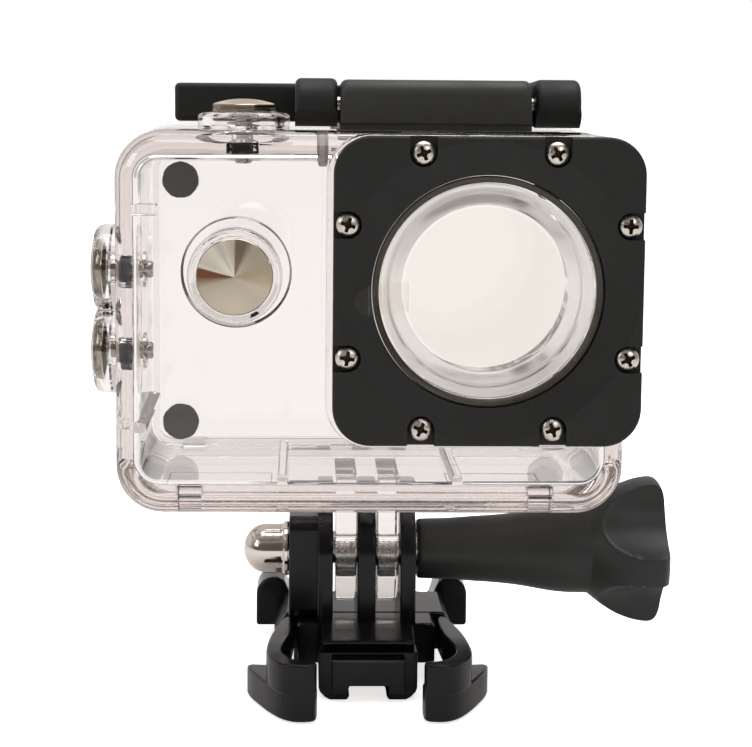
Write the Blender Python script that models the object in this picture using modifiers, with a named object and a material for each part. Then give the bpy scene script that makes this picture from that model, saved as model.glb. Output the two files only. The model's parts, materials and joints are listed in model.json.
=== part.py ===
"""Clear waterproof housing for an action camera, on its quick-release buckle.

Run with: blender --background --python part.py
Sizes below are millimetres; helpers turn them into metres. X runs to the viewer's right as the
lens side is faced, Y away from that viewer, Z up. The origin is the centre of the buckle's sole.
Every moving group hangs from an empty that sits on its joint's axis.
"""

import math

import bmesh
import bpy
from mathutils import Matrix, Vector

MM = 0.001
GAP = 0.3  # clearance between pieces that rest on each other

# Buckle and tilt joint
BOLT_Z = 17.6
BOLT_R = 2.5
BOLT_HOLE_R = BOLT_R + GAP
PRONG_R = 7.5
SHELL_PRONG_X = 3.0
SHELL_PRONG_W = 3.0
NOSE_HALF = 6.85
NOSE_FRONT = -17.1
PLATFORM_STEP_Y = -2.0
CLIP_ROOT = (11.0, -2.8)

# Housing body
BODY_HALF = 34.7
BODY_LOW = 26.35
BODY_TOP = 78.6
CORNER_R = 6.5
FRONT_Y = -18.0
RIM_Y = 13.7
WALL = 3.3
SIDE_WALL = 2.7
BAY_HALF = BODY_HALF - SIDE_WALL
BAY_LOW = 30.3
BAY_TOP = BODY_TOP - WALL
BAY_FRONT = FRONT_Y + WALL
BAY_CORNER_R = CORNER_R - WALL

# Lens window: a boss on the front wall, closed by a screwed frame
LENS_X = 14.8
LENS_Z = 58.1
BOSS_FRONT = -24.3
FRAME_HALF = 20.2
FRAME_FRONT = -27.1
FRAME_BACK = BOSS_FRONT - GAP
FRAME_HOLE_R = 15.2
DISH_R = 19.4
LENS_BORE_R = 14.3
LENS_SEAT = -19.0
LENS_PORT_R = 11.5
NOTCH_FLOOR = -25.6
SCREW_SPREAD = (8.65, 18.0)
SCREW_SPREAD_SIDE = (18.3, 8.7)

# Door across the back, hinged along its lower edge
DOOR_Y = RIM_Y + GAP
DOOR_T = 3.2
DOOR_BACK = DOOR_Y + DOOR_T
DOOR_TOP = 79.1
HINGE_R = 2.2
HINGE_Y = DOOR_Y + HINGE_R
HINGE_Z = BODY_LOW + HINGE_R
HINGE_PIN_R = 0.75
HINGE_EAR_X = (24.0, 27.5)
PLUG_FRONT = 12.4
DOT_X = 27.5
DOT_Z = (34.3, 70.6)

# Latch on the top wall
PIN_Y = -8.0
PIN_Z = 82.25
PIN_R = 0.9
KNUCKLE_R = 3.4
HOOK_Y = 10.0
HOOK_R = 2.2
BARREL_X = (-4.3, 21.8)
LEFT_KNUCKLE_X = (-10.5, -4.7)
RIGHT_KNUCKLE_X = (22.5, 28.7)
LEVER_LOW = 79.3
LEVER_TOP = 84.9

# Push buttons: centre of each, and where its collar, floor and inner boss lie along its axis
STEM_R = 1.2
STEM_HOLE_R = STEM_R + GAP
SEAL_R = 2.45
SEAL_BORE_R = 2.8
CLIP_R = 2.6
CLIP_T = 0.5
TRAVEL = 1.0
SEAL_DEPTH = 2.3
BUTTON_SIDES = 16
SMALL_SIDES = 12

COLLECTION = "action_camera_housing"


# ---------------------------------------------------------------- scene and materials

def clear_scene():
    for obj in list(bpy.data.objects):
        bpy.data.objects.remove(obj, do_unlink=True)


def new_collection(name):
    collection = bpy.data.collections.new(name)
    bpy.context.scene.collection.children.link(collection)
    return collection


def material(name, colour, roughness, metallic=0.0, alpha=1.0):
    made = bpy.data.materials.new(name)
    made.use_nodes = True
    shader = made.node_tree.nodes["Principled BSDF"]
    shader.inputs["Base Color"].default_value = (*colour, 1.0)
    shader.inputs["Roughness"].default_value = roughness
    shader.inputs["Metallic"].default_value = metallic
    shader.inputs["Alpha"].default_value = alpha
    made.diffuse_color = (*colour, alpha)
    return made


clear_scene()
PARTS = new_collection(COLLECTION)
CUTTERS = new_collection("cutters")

CLEAR = material("clear_polycarbonate", (0.9, 0.88, 0.86), 0.05, alpha=0.3)
GLASS = material("window_glass", (0.95, 0.96, 0.96), 0.02, alpha=0.25)
MATTE_BLACK = material("matte_black_plastic", (0.027, 0.027, 0.026), 0.55)
GLOSS_BLACK = material("gloss_black_plastic", (0.012, 0.012, 0.013), 0.2)
SATIN_BLACK = material("satin_black_plastic", (0.02, 0.021, 0.022), 0.42)
STEEL = material("nickel_steel", (0.62, 0.6, 0.57), 0.25, metallic=1.0)
BRUSHED = material("brushed_steel", (0.66, 0.62, 0.57), 0.32, metallic=1.0)
RUBBER = material("black_rubber", (0.02, 0.02, 0.024), 0.7)
SILICONE = material("white_silicone", (0.82, 0.81, 0.79), 0.5)
FOAM = material("dark_foam", (0.035, 0.025, 0.022), 0.9)


# ---------------------------------------------------------------- outlines

def arc(centre, radius, start, end, count):
    """Points on an arc, both ends included; angles in degrees, turning from start to end."""
    step = (end - start) / (count - 1)
    angles = [math.radians(start + step * i) for i in range(count)]
    return [(centre[0] + radius * math.cos(a), centre[1] + radius * math.sin(a)) for a in angles]


def rounded_rect(u0, u1, v0, v1, radius, count=4):
    """Outline of a rectangle with round corners, anticlockwise, count points on each corner."""
    corners = ((u1, v0, -90), (u1, v1, 0), (u0, v1, 90), (u0, v0, 180))
    points = []
    for u, v, start in corners:
        centre = (u - radius if u == u1 else u + radius, v - radius if v == v1 else v + radius)
        points += arc(centre, radius, start, start + 90, count)
    return points


def mirrored_x(outline):
    """The outline's mirror image across X = 0, still anticlockwise."""
    return [(-u, v) for u, v in reversed(outline)]


# ---------------------------------------------------------------- solids

# Columns: where an outline's first axis, second axis and its thickness point
FACING = {
    "X": Matrix(((0, 0, 1), (1, 0, 0), (0, 1, 0))).to_4x4(),
    "Y": Matrix(((1, 0, 0), (0, 0, -1), (0, 1, 0))).to_4x4(),
    "Z": Matrix.Identity(4),
}
DIRECTION = {"X": Vector((1, 0, 0)), "Y": Vector((0, 1, 0)), "Z": Vector((0, 0, 1))}


def to_object(name, mesh, finish):
    """A closed mesh as an object in the parts collection, shaded smooth below 40 degrees."""
    work = bmesh.new()
    work.from_mesh(mesh)
    bmesh.ops.remove_doubles(work, verts=work.verts, dist=0.002 * MM)
    bmesh.ops.dissolve_limit(work, angle_limit=math.radians(0.5), verts=work.verts, edges=work.edges)
    bmesh.ops.recalc_face_normals(work, faces=work.faces)
    work.to_mesh(mesh)
    work.free()
    mesh.shade_smooth()
    mesh.set_sharp_from_angle(angle=math.radians(40))
    mesh.materials.clear()
    mesh.materials.append(finish)
    mesh.name = name
    obj = bpy.data.objects.new(name, mesh)
    PARTS.objects.link(obj)
    return obj


def baked(name, source, transform, finish):
    """Turns a curve or a modified mesh into a plain mesh object, moved by transform."""
    PARTS.objects.link(source)
    seen = source.evaluated_get(bpy.context.evaluated_depsgraph_get())
    mesh = bpy.data.meshes.new_from_object(seen)
    bpy.data.objects.remove(source, do_unlink=True)
    mesh.transform(transform)
    return to_object(name, mesh, finish)


def prism(name, outline, axis, low, high, finish=CLEAR):
    """A flat outline given thickness from low to high along an axis.

    The outline's two values are (Y, Z) for axis X, (X, Z) for Y and (X, Y) for Z.
    """
    curve = bpy.data.curves.new(name, "CURVE")
    curve.dimensions = "2D"
    curve.fill_mode = "BOTH"
    curve.extrude = (high - low) / 2 * MM
    spline = curve.splines.new("POLY")
    spline.points.add(len(outline) - 1)
    spline.use_cyclic_u = True
    for point, (u, v) in zip(spline.points, outline):
        point.co = (u * MM, v * MM, 0.0, 1.0)
    middle = Matrix.Translation(DIRECTION[axis] * ((low + high) / 2 * MM))
    return baked(name, bpy.data.objects.new(name, curve), middle @ FACING[axis], finish)


def box(name, x, y, z, finish=CLEAR):
    """A block from low to high along each axis."""
    work = bmesh.new()
    size = [(side[1] - side[0]) * MM for side in (x, y, z)]
    centre = [(side[1] + side[0]) / 2 * MM for side in (x, y, z)]
    bmesh.ops.create_cube(work, size=1.0)
    bmesh.ops.scale(work, vec=size, verts=work.verts)
    bmesh.ops.translate(work, vec=centre, verts=work.verts)
    mesh = bpy.data.meshes.new(name)
    work.to_mesh(mesh)
    work.free()
    return to_object(name, mesh, finish)


def along(axis, centre, reverse=False):
    """Places a solid made around local Z onto a line along axis through centre (mm)."""
    direction = -DIRECTION[axis] if reverse else DIRECTION[axis]
    turn = Vector((0, 0, 1)).rotation_difference(direction).to_matrix().to_4x4()
    return Matrix.Translation(Vector(centre) * MM) @ turn


def rod(name, axis, centre, radius, low, high, finish=CLEAR, sides=24, radius_high=None):
    """A cylinder or cone on the line through centre, from low to high along the axis."""
    work = bmesh.new()
    bmesh.ops.create_cone(work, cap_ends=True, segments=sides, radius1=radius * MM,
                          radius2=(radius if radius_high is None else radius_high) * MM,
                          depth=(high - low) * MM)
    mesh = bpy.data.meshes.new(name)
    work.to_mesh(mesh)
    work.free()
    start = Vector(centre)
    start["XYZ".index(axis)] = (low + high) / 2
    mesh.transform(along(axis, start))
    return to_object(name, mesh, finish)


def turned(name, axis, centre, profile, finish, closed=False, reverse=False, sides=24):
    """A profile of (radius, distance along the axis) points spun about the line through centre."""
    mesh = bpy.data.meshes.new(name)
    edges = [(i, i + 1) for i in range(len(profile) - 1)]
    if closed:
        edges.append((len(profile) - 1, 0))
    mesh.from_pydata([(r * MM, 0.0, h * MM) for r, h in profile], edges, [])
    source = bpy.data.objects.new(name, mesh)
    spin = source.modifiers.new("turn", "SCREW")
    spin.axis = "Z"
    spin.steps = sides
    spin.render_steps = sides
    spin.use_merge_vertices = True
    spin.merge_threshold = 1e-6
    return baked(name, source, along(axis, centre, reverse), finish)


def ring(name, axis, centre, inner, outer, low, high, finish, sides=24):
    """A plain tube."""
    profile = [(outer, high), (outer, low), (inner, low), (inner, high)]
    return turned(name, axis, centre, profile, finish, closed=True, sides=sides)


def soften(obj, width, segments=2, angle=50):
    """Rounds every edge sharper than angle."""
    bevel = obj.modifiers.new("edges", "BEVEL")
    bevel.width = width * MM
    bevel.segments = segments
    bevel.limit_method = "ANGLE"
    bevel.angle_limit = math.radians(angle)
    return obj


def boolean(target, tool, operation):
    tool.hide_render = True
    tool.display_type = "WIRE"
    PARTS.objects.unlink(tool)
    CUTTERS.objects.link(tool)
    step = target.modifiers.new(tool.name, "BOOLEAN")
    step.operation = operation
    step.object = tool
    step.solver = "EXACT"


def cut(target, *tools):
    for tool in tools:
        boolean(target, tool, "DIFFERENCE")


def join(target, *tools):
    for tool in tools:
        boolean(target, tool, "UNION")


def pivot(name, position, parent=None):
    """An empty on a joint's axis; the pieces that move together hang from it."""
    empty = bpy.data.objects.new(name, None)
    empty.empty_display_size = 5 * MM
    empty.location = Vector(position) * MM
    PARTS.objects.link(empty)
    empty["world"] = [value * MM for value in position]
    if parent is not None:
        empty.parent = parent
        empty.matrix_parent_inverse = Matrix.Translation(-Vector(parent["world"]))
    return empty


def attach(empty, *pieces):
    """Hangs pieces from an empty and gives them its place as their own origin."""
    place = Vector(empty["world"])
    for piece in pieces:
        if piece.type == "MESH":
            piece.data.transform(Matrix.Translation(-place))
        piece.location = place
        piece.parent = empty
        piece.matrix_parent_inverse = Matrix.Translation(-place)


# ---------------------------------------------------------------- buckle

def buckle_prong(name, x0, x1):
    """One finger of the buckle: a round head on the bolt's axis and a straight root."""
    head = arc((0.0, BOLT_Z), PRONG_R, 0, 180, 13)
    return prism(name, head + [(-PRONG_R, 8.0), (PRONG_R + 0.6, 8.0)], "X", x0, x1, GLOSS_BLACK)


def nose(base):
    """Block ahead of the platform: two feet, a slot between them, a cove and a ledge above."""
    half = [(5.1, -0.3), (6.6, 1.1), (NOSE_HALF, 1.7), (NOSE_HALF, 6.8)]
    feet = half + mirrored_x(half) + [(-3.1, -0.3), (-2.2, 1.25), (2.2, 1.25), (3.1, -0.3)]
    face = [(-13.0, 1.3), (NOSE_FRONT, 1.3), (NOSE_FRONT, 5.9), (-16.6, 6.3), (-13.0, 6.5)]
    ledge = [(-6.0, 6.0), (-14.9, 6.0), (-15.1, 7.3), (-15.9, 8.0), (NOSE_FRONT, 8.3),
             (NOSE_FRONT, 8.85), (-6.0, 8.85)]
    join(base,
         prism("nose_block", feet, "Y", -15.6, 2.0),
         prism("nose_face", face, "X", -5.05, 5.05),
         prism("nose_ledge", ledge, "X", -6.4, 6.4))


def buckle_base():
    """Sole, nose, stepped platform, rear ears and three fingers, as one moulding."""
    base = prism("buckle_base", rounded_rect(-10.4, 10.4, 1.0, 21.0, 1.5), "Z", -0.5, 3.6, GLOSS_BLACK)
    nose(base)
    step = [(9.8, 2.8), (9.8, 8.0), (9.3, 8.5)]
    flank = [(13.3, 3.0), (13.3, 4.2), (11.5, 8.4), (11.2, 8.6)]
    join(base,
         prism("platform_front", step + mirrored_x(step), "Y", -7.4, -1.5),
         prism("platform_rear", flank + mirrored_x(flank), "Y", PLATFORM_STEP_Y, 9.4),
         box("tail", (-9.5, 9.5), (9.0, 20.6), (2.6, 5.6)),
         box("sole_pad", (-5.0, 5.0), (-3.0, 2.5), (-0.7, 2.9)))
    ear = ([(9.0, 1.9), (16.2, 1.9)]
           + arc((13.4, 6.7), 2.8, 0, 100, 5)
           + [(11.6, 8.4), (10.6, 5.4), (9.0, 5.4)])
    for side, outline in (("right", ear), ("left", mirrored_x(ear))):
        join(base, prism(f"ear_{side}", outline, "Y", 14.0, 20.8))
    join(base,
         buckle_prong("finger_middle", -1.2, 1.2),
         buckle_prong("finger_right", 4.8, 7.0),
         buckle_prong("finger_left", -7.0, -4.8),
         prism("nut_boss", rounded_rect(-5.7, 5.7, 8.5, 23.3, 2.0, 3), "X", -11.1, -6.9))
    cut(base,
        rod("bolt_bore", "X", (0, 0, BOLT_Z), BOLT_HOLE_R, -12.0, 12.0, sides=16),
        rod("nut_pocket", "X", (0, 0, BOLT_Z), 4.9, -12.0, -7.8, sides=6),
        box("nose_slot", (-2.9, 2.9), (-18.5, -12.0), (0.5, 2.45)),
        box("sole_trim", (-20.0, 20.0), (-30.0, 30.0), (-5.0, 0.0)))
    return base


def side_clip(name, side):
    """A sprung arm: a C-shaped upper finger over a barbed lower tongue. side is 1 or -1."""
    upper = [(11.5, -2.5), (12.2, -5.0), (13.5, -11.0), (14.07, -17.0), (14.0, -21.0), (13.05, -23.4),
             (11.6, -25.3), (9.6, -26.0), (7.4, -25.7), (7.2, -24.2), (9.0, -24.0), (10.5, -22.8),
             (11.7, -20.4), (11.9, -18.0), (11.2, -14.0), (10.6, -11.0), (10.2, -2.5)]
    lower = [(7.2, -24.6), (7.6, -25.6), (9.6, -25.9), (10.6, -25.6), (12.2, -24.3), (13.8, -21.6),
             (15.0, -19.0), (16.3, -15.8), (16.9, -13.0), (13.9, -13.4), (11.3, -13.2), (9.5, -17.5),
             (7.2, -21.0)]
    if side < 0:
        upper = mirrored_x(upper)
        lower = mirrored_x(lower)
    clip = prism(name, upper, "Z", 3.9, 8.2, GLOSS_BLACK)
    join(clip, prism(f"{name}_barb", lower, "Z", GAP, 4.4))
    return clip


def cap_nut():
    """Acorn nut: hexagon held in the buckle's pocket, domed cap outside, blind bore inside."""
    nut = rod("cap_nut", "X", (0, 0, BOLT_Z), 4.5, -11.0, -8.1, STEEL, sides=6)
    dome = [(3.55, -10.5)] + [(3.55 * math.cos(a), -14.4 - 3.3 * math.sin(a))
                              for a in (math.radians(15 * i) for i in range(6))] + [(0.0, -17.7)]
    join(nut, turned("nut_dome", "X", (0, 0, BOLT_Z), [(0.0, -10.5)] + dome, STEEL, sides=20))
    cut(nut, rod("nut_bore", "X", (0, 0, BOLT_Z), BOLT_HOLE_R, -13.5, -7.0, sides=16))
    return nut


# ---------------------------------------------------------------- thumb screw

SHAFT_STATIONS = (  # distance along X and radius of the waisted handle
    (7.5, 4.15), (12.0, 4.44), (18.3, 4.87), (24.6, 5.68), (29.0, 6.3), (32.3, 6.38))
HEAD_STATIONS = (  # distance along X and radius over the lobes' tips
    (34.4, 8.0), (36.4, 9.25), (38.2, 10.05), (39.9, 10.5), (41.2, 10.65), (42.2, 10.4), (43.15, 8.6))
KNOB_SIDES = 40
LOBE_TURN = math.radians(-6)
DISH_CURVE = 7.4  # radius of the round hollow between two lobes
VALLEY_R = 6.1


def lobed_radius(x, tip, angle):
    """Radius of the head in a direction: the tip circle, hollowed by four round dishes."""
    valley = VALLEY_R + 1.3 * (max(0.0, 41.5 - x) / 7.7) ** 2
    away = valley + DISH_CURVE
    turn = (angle - LOBE_TURN) % (math.pi / 2) - math.pi / 4
    inside = DISH_CURVE ** 2 - (away * math.sin(turn)) ** 2
    if inside <= 0:
        return tip
    return min(tip, away * math.cos(turn) - math.sqrt(inside))


def thumb_knob():
    """A waisted handle that grows into four lobes with dished sides between them."""
    work = bmesh.new()
    rings = []
    turns = [2 * math.pi * i / KNOB_SIDES for i in range(KNOB_SIDES)]
    sections = [(x, [radius] * KNOB_SIDES) for x, radius in SHAFT_STATIONS]
    sections += [(x, [lobed_radius(x, tip, angle) for angle in turns]) for x, tip in HEAD_STATIONS]
    for x, radii in sections:
        rings.append([work.verts.new(Vector((x, -r * math.cos(a), BOLT_Z + r * math.sin(a))) * MM)
                      for r, a in zip(radii, turns)])
    for low, high in zip(rings, rings[1:]):
        for i in range(KNOB_SIDES):
            j = (i + 1) % KNOB_SIDES
            work.faces.new((low[i], low[j], high[j], high[i]))
    work.faces.new(rings[0])
    work.faces.new(rings[-1])
    mesh = bpy.data.meshes.new("thumb_knob")
    work.to_mesh(mesh)
    work.free()
    knob = to_object("thumb_knob", mesh, SATIN_BLACK)
    cut(knob, rod("knob_bore", "X", (0, 0, BOLT_Z), BOLT_HOLE_R, 6.0, 22.3, sides=16))
    return knob


def clamp_bolt():
    """M5 screw from inside the handle, through the fingers, into the acorn nut."""
    return rod("clamp_bolt", "X", (0, 0, BOLT_Z), BOLT_R, -13.2, 22.0, STEEL, sides=16)


# ---------------------------------------------------------------- buttons

class Button:
    """A push button: which way its axis runs, where it is, and the heights of its parts.

    Heights are measured from the outer surface of the wall, positive outwards.
    """

    def __init__(self, name, axis, outward, centre, surface, cap_r, cap_top, floor, boss):
        self.name = name
        self.axis = axis
        self.outward = outward
        self.centre = centre
        self.surface = surface
        self.cap_r = cap_r
        self.cap_top = cap_top
        self.floor = floor
        self.boss = boss  # depth of the inner end of the stem's guide below the surface
        self.cap_low = floor + TRAVEL + GAP
        self.clip_top = -boss - GAP
        self.seal_top = -boss + SEAL_DEPTH - GAP

    def base(self):
        """The point on the axis in the plane of the wall's outer surface."""
        point = list(self.centre)
        point["XYZ".index(self.axis)] = self.surface
        return point

    def rod(self, name, radius, low, high):
        return self.lathe(name, [(0, high), (radius, high), (radius, low), (0, low)], CLEAR)

    def lathe(self, name, profile, finish, closed=False, sides=BUTTON_SIDES):
        return turned(name, self.axis, self.base(), profile, finish, closed=closed,
                      reverse=self.outward < 0, sides=sides)


FRONT_BUTTON = Button("front_button", "Y", -1, (-18.3, 0.0, 59.5), FRONT_Y, 5.1, 4.4, 0.6, 5.3)
TOP_BUTTON = Button("shutter_button", "Z", 1, (-17.8, 0.0, 0.0), BODY_TOP, 4.5, 4.1, 0.0, WALL)
UPPER_BUTTON = Button("side_button_upper", "X", -1, (0.0, -4.0, 58.8), -BODY_HALF, 4.6, 4.4, 1.2, SIDE_WALL)
LOWER_BUTTON = Button("side_button_lower", "X", -1, (0.0, -4.0, 47.35), -BODY_HALF, 4.6, 4.4, 1.2, SIDE_WALL)
BUTTONS = (FRONT_BUTTON, TOP_BUTTON, UPPER_BUTTON, LOWER_BUTTON)
COLLAR = {  # outer radius and height of each button's clear collar
    "front_button": (6.3, 4.1),
    "shutter_button": (6.55, 2.2),
    "side_button_upper": (6.25, 3.9),
    "side_button_lower": (6.25, 3.9),
}


def button_pieces(b):
    """Cap with its stem, retaining clip, seal and return spring of one button."""
    cup_r = b.cap_r - 1.0
    cup_top = b.cap_top - 1.1
    clip_low = b.clip_top - CLIP_T
    groove_r = STEM_R - 0.45
    stem_end = clip_low - 0.9
    cap = b.lathe(b.name, [
        (0.0, b.cap_top), (b.cap_r * 0.6, b.cap_top - 0.2), (b.cap_r, b.cap_top - 0.6),
        (b.cap_r, b.cap_low), (cup_r, b.cap_low), (cup_r, cup_top), (STEM_R, cup_top),
        (STEM_R, b.clip_top + GAP / 2), (groove_r, b.clip_top + GAP / 2),
        (groove_r, clip_low - GAP), (STEM_R, clip_low - GAP), (STEM_R, stem_end), (0.0, stem_end),
    ], BRUSHED)
    clip = b.lathe(f"{b.name}_clip", [
        (CLIP_R, b.clip_top), (CLIP_R, clip_low), (groove_r + GAP, clip_low),
        (groove_r + GAP, b.clip_top),
    ], STEEL, closed=True, sides=SMALL_SIDES)
    mouth = clip_mouth(b, clip_low)
    cut(clip, mouth)
    seal_low = -b.boss + GAP
    seal = b.lathe(f"{b.name}_seal", [
        (SEAL_R, b.seal_top), (SEAL_R, seal_low), (STEM_HOLE_R, seal_low), (STEM_HOLE_R, b.seal_top),
    ], RUBBER, closed=True, sides=SMALL_SIDES)
    spring = b.lathe(f"{b.name}_spring", [
        (2.7, cup_top - GAP), (2.7, b.floor + GAP), (2.0, b.floor + GAP), (2.0, cup_top - GAP),
    ], STEEL, closed=True, sides=SMALL_SIDES)
    return cap, clip, seal, spring


def clip_mouth(b, clip_low):
    """The gap that makes the retaining clip a C, so that it can be pushed onto its groove."""
    place = Vector(b.base()) + DIRECTION[b.axis] * b.outward * (clip_low + CLIP_T / 2)
    sizes = {"X": (2.0, 1.4, 4.0), "Y": (1.4, 2.0, 4.0), "Z": (1.4, 4.0, 2.0)}[b.axis]
    shift = {"X": (0, 0, -2.2), "Y": (0, 0, -2.2), "Z": (0, -2.2, 0)}[b.axis]
    spans = [(place[i] + shift[i] - sizes[i] / 2, place[i] + shift[i] + sizes[i] / 2)
             for i in range(3)]
    return box(f"{b.name}_clip_mouth", *spans)


# ---------------------------------------------------------------- housing

def lens_screws():
    """Positions of the eight frame screws, as (X, Z), clockwise from the upper left."""
    corners = ((-1, 1), (1, 1), (1, -1), (-1, -1))
    places = []
    for across, up in corners:
        near_top = (LENS_X + across * SCREW_SPREAD[0], LENS_Z + up * SCREW_SPREAD[1])
        near_side = (LENS_X + across * SCREW_SPREAD_SIDE[0], LENS_Z + up * SCREW_SPREAD_SIDE[1])
        pair = [near_side, near_top] if across * up < 0 else [near_top, near_side]
        places += pair
    return places


def ribs(shell):
    """Alignment ribs that hold the camera in the middle of the bay."""
    half = 0.75
    depth = (BAY_FRONT - 0.5, 11.2)
    height = 1.5
    for i, x in enumerate((-12.0, 12.0)):
        join(shell, box(f"rib_low_{i}", (x - half, x + half), depth, (BAY_LOW - 0.5, BAY_LOW + height)))
    for i, x in enumerate((-6.7, 12.0)):
        join(shell, box(f"rib_top_{i}", (x - half, x + half), depth, (BAY_TOP - height, BAY_TOP + 0.5)))
    for i, z in enumerate((38.2, 68.0)):
        span = (z - half, z + half)
        join(shell, box(f"rib_right_{i}", (BAY_HALF - 1.2, BAY_HALF + 0.5), depth, span))
    stop = (BAY_FRONT - 0.4, BAY_FRONT + 3.2)
    join(shell, box("rib_left", (-BAY_HALF - 0.4, -BAY_HALF + 1.2), depth, (38.2 - half, 38.2 + half)),
         box("stop_left", (-BAY_HALF - 0.6, -BAY_HALF + 3.0), stop, (67.0, 68.6)))


def front_shell():
    """The deep clear half: walls, lens boss, button collars, hinge ears and two mounting fingers."""
    shell = prism("front_shell", rounded_rect(-BODY_HALF, BODY_HALF, BODY_LOW, BODY_TOP, CORNER_R, 5),
                  "Y", FRONT_Y, RIM_Y + 6.0)
    soften(shell, 3.5, 3)
    join(shell, prism("lens_boss", rounded_rect(-6.1, 34.9, 37.5, 78.4, 5.8, 5), "Y",
                      BOSS_FRONT, BAY_FRONT + 0.5))
    for i, span in enumerate(((-28.0, -13.5), (11.0, 24.0))):
        join(shell, box(f"foot_pad_{i}", span, (-13.0, -3.0), (BODY_LOW - 0.5, BODY_LOW + 0.8)))
    for b in BUTTONS:
        radius, height = COLLAR[b.name]
        join(shell, b.rod(f"{b.name}_collar", radius, -1.5, height))
    cut(shell,
        box("rear_trim", (-40, 40), (RIM_Y, RIM_Y + 12), (20, 90)),
        prism("bay", rounded_rect(-BAY_HALF, BAY_HALF, BAY_LOW, BAY_TOP, BAY_CORNER_R, 4), "Y",
              BAY_FRONT, RIM_Y + 8))
    ribs(shell)
    join(shell, FRONT_BUTTON.rod("front_guide", 7.5, -FRONT_BUTTON.boss, -WALL + 0.8))
    for b in BUTTONS:
        seat = SEAL_DEPTH - b.boss
        cut(shell, b.lathe(f"{b.name}_bore", [
            (0.0, 9.0), (b.cap_r + GAP, 9.0), (b.cap_r + GAP, b.floor), (STEM_HOLE_R, b.floor),
            (STEM_HOLE_R, seat), (SEAL_BORE_R, seat), (SEAL_BORE_R, -b.boss - 2.0),
            (0.0, -b.boss - 2.0)], CLEAR))
    cut(shell,
        rod("lens_bore", "Y", (LENS_X, 0, LENS_Z), LENS_BORE_R, -40.0, LENS_SEAT, sides=32),
        rod("lens_port", "Y", (LENS_X, 0, LENS_Z), LENS_PORT_R, -30.0, -10.0, sides=32))
    for i, (x, z) in enumerate(lens_screws(), 1):
        cut(shell, rod(f"pilot_{i}", "Y", (x, 0, z), 1.2, -30.0, -19.8, sides=8))
    add_mounting_fingers(shell)
    add_hinge_ears(shell)
    cut(shell, box("latch_slot", (4.1, 8.9), (-10.3, -5.7), (76.4, 82.0)))
    return shell


def add_mounting_fingers(shell):
    """Two fingers under the body that interleave with the buckle's three."""
    outline = arc((0.0, BOLT_Z), PRONG_R, 180, 360, 13) + [(PRONG_R, 28.0), (-PRONG_R, 28.0)]
    for side in (-1, 1):
        low = side * SHELL_PRONG_X - SHELL_PRONG_W / 2
        join(shell, prism(f"mount_finger_{side}", outline, "X", low, low + SHELL_PRONG_W))
    cut(shell, rod("finger_bore", "X", (0, 0, BOLT_Z), BOLT_HOLE_R, -6.0, 6.0, sides=16))


def add_hinge_ears(shell):
    """Two ears behind the lower wall that carry the door's hinge pin."""
    profile = arc((HINGE_Y, HINGE_Z), HINGE_R, -90, 90, 7) + [(12.5, HINGE_Z + 1.0), (12.5, BODY_LOW + 0.05)]
    for side in (-1, 1):
        x0, x1 = sorted(side * x for x in HINGE_EAR_X)
        join(shell, prism(f"hinge_ear_{side}", profile, "X", x0, x1))
    cut(shell, rod("hinge_bore", "X", (0, HINGE_Y, HINGE_Z), HINGE_PIN_R + GAP, -32, 32, sides=10))


def lens_frame():
    """Square matte frame with a dished face, clamped over the lens boss by eight screws."""
    x0, x1 = LENS_X - FRAME_HALF, LENS_X + FRAME_HALF
    z0, z1 = LENS_Z - FRAME_HALF, LENS_Z + FRAME_HALF
    frame = prism("lens_frame", rounded_rect(x0, x1, z0, z1, 5.0, 5), "Y", FRAME_FRONT, FRAME_BACK,
                  MATTE_BLACK)
    cut(frame,
        rod("frame_hole", "Y", (LENS_X, 0, LENS_Z), FRAME_HOLE_R, -40, -20, sides=32),
        rod("frame_dish", "Y", (LENS_X, 0, LENS_Z), DISH_R + 1.2, -27.5, -25.9, sides=32,
            radius_high=FRAME_HOLE_R - 0.4))
    for i, (x, z) in enumerate(lens_screws(), 1):
        cut(frame, screw_notch(i, x, z), rod(f"shank_hole_{i}", "Y", (x, 0, z), 1.2, -30, -20, sides=8))
    return frame


def screw_notch(number, x, z):
    """A U-shaped pocket that runs from a screw out to the nearest edge of the frame."""
    half = 1.75
    across, up = x - LENS_X, z - LENS_Z
    outline = [(half, 4.0), (-half, 4.0)] + arc((0.0, 0.0), half, 180, 360, 7)
    turn = math.atan2(up, across) - math.pi / 2
    turn = round(turn / (math.pi / 2)) * math.pi / 2
    placed = [(x + u * math.cos(turn) - v * math.sin(turn), z + u * math.sin(turn) + v * math.cos(turn))
              for u, v in outline]
    return prism(f"notch_{number}", placed, "Y", -30.0, NOTCH_FLOOR)


def lens_screw(number, x, z):
    """Cross-recessed pan-head screw that holds the frame to the boss."""
    head = NOTCH_FLOOR - GAP
    screw = turned(f"lens_screw_{number}", "Y", (x, 0, z), [
        (0.0, -20.2), (0.9, -20.2), (0.9, head), (1.55, head), (1.5, head - 0.5), (1.0, head - 0.95),
        (0.0, head - 1.1)], STEEL, sides=10)
    slot = 0.2
    cut(screw,
        box(f"recess_a_{number}", (x - 0.85, x + 0.85), (head - 1.5, head - 0.55), (z - slot, z + slot)),
        box(f"recess_b_{number}", (x - slot, x + slot), (head - 1.5, head - 0.55), (z - 0.85, z + 0.85)))
    return screw


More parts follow.
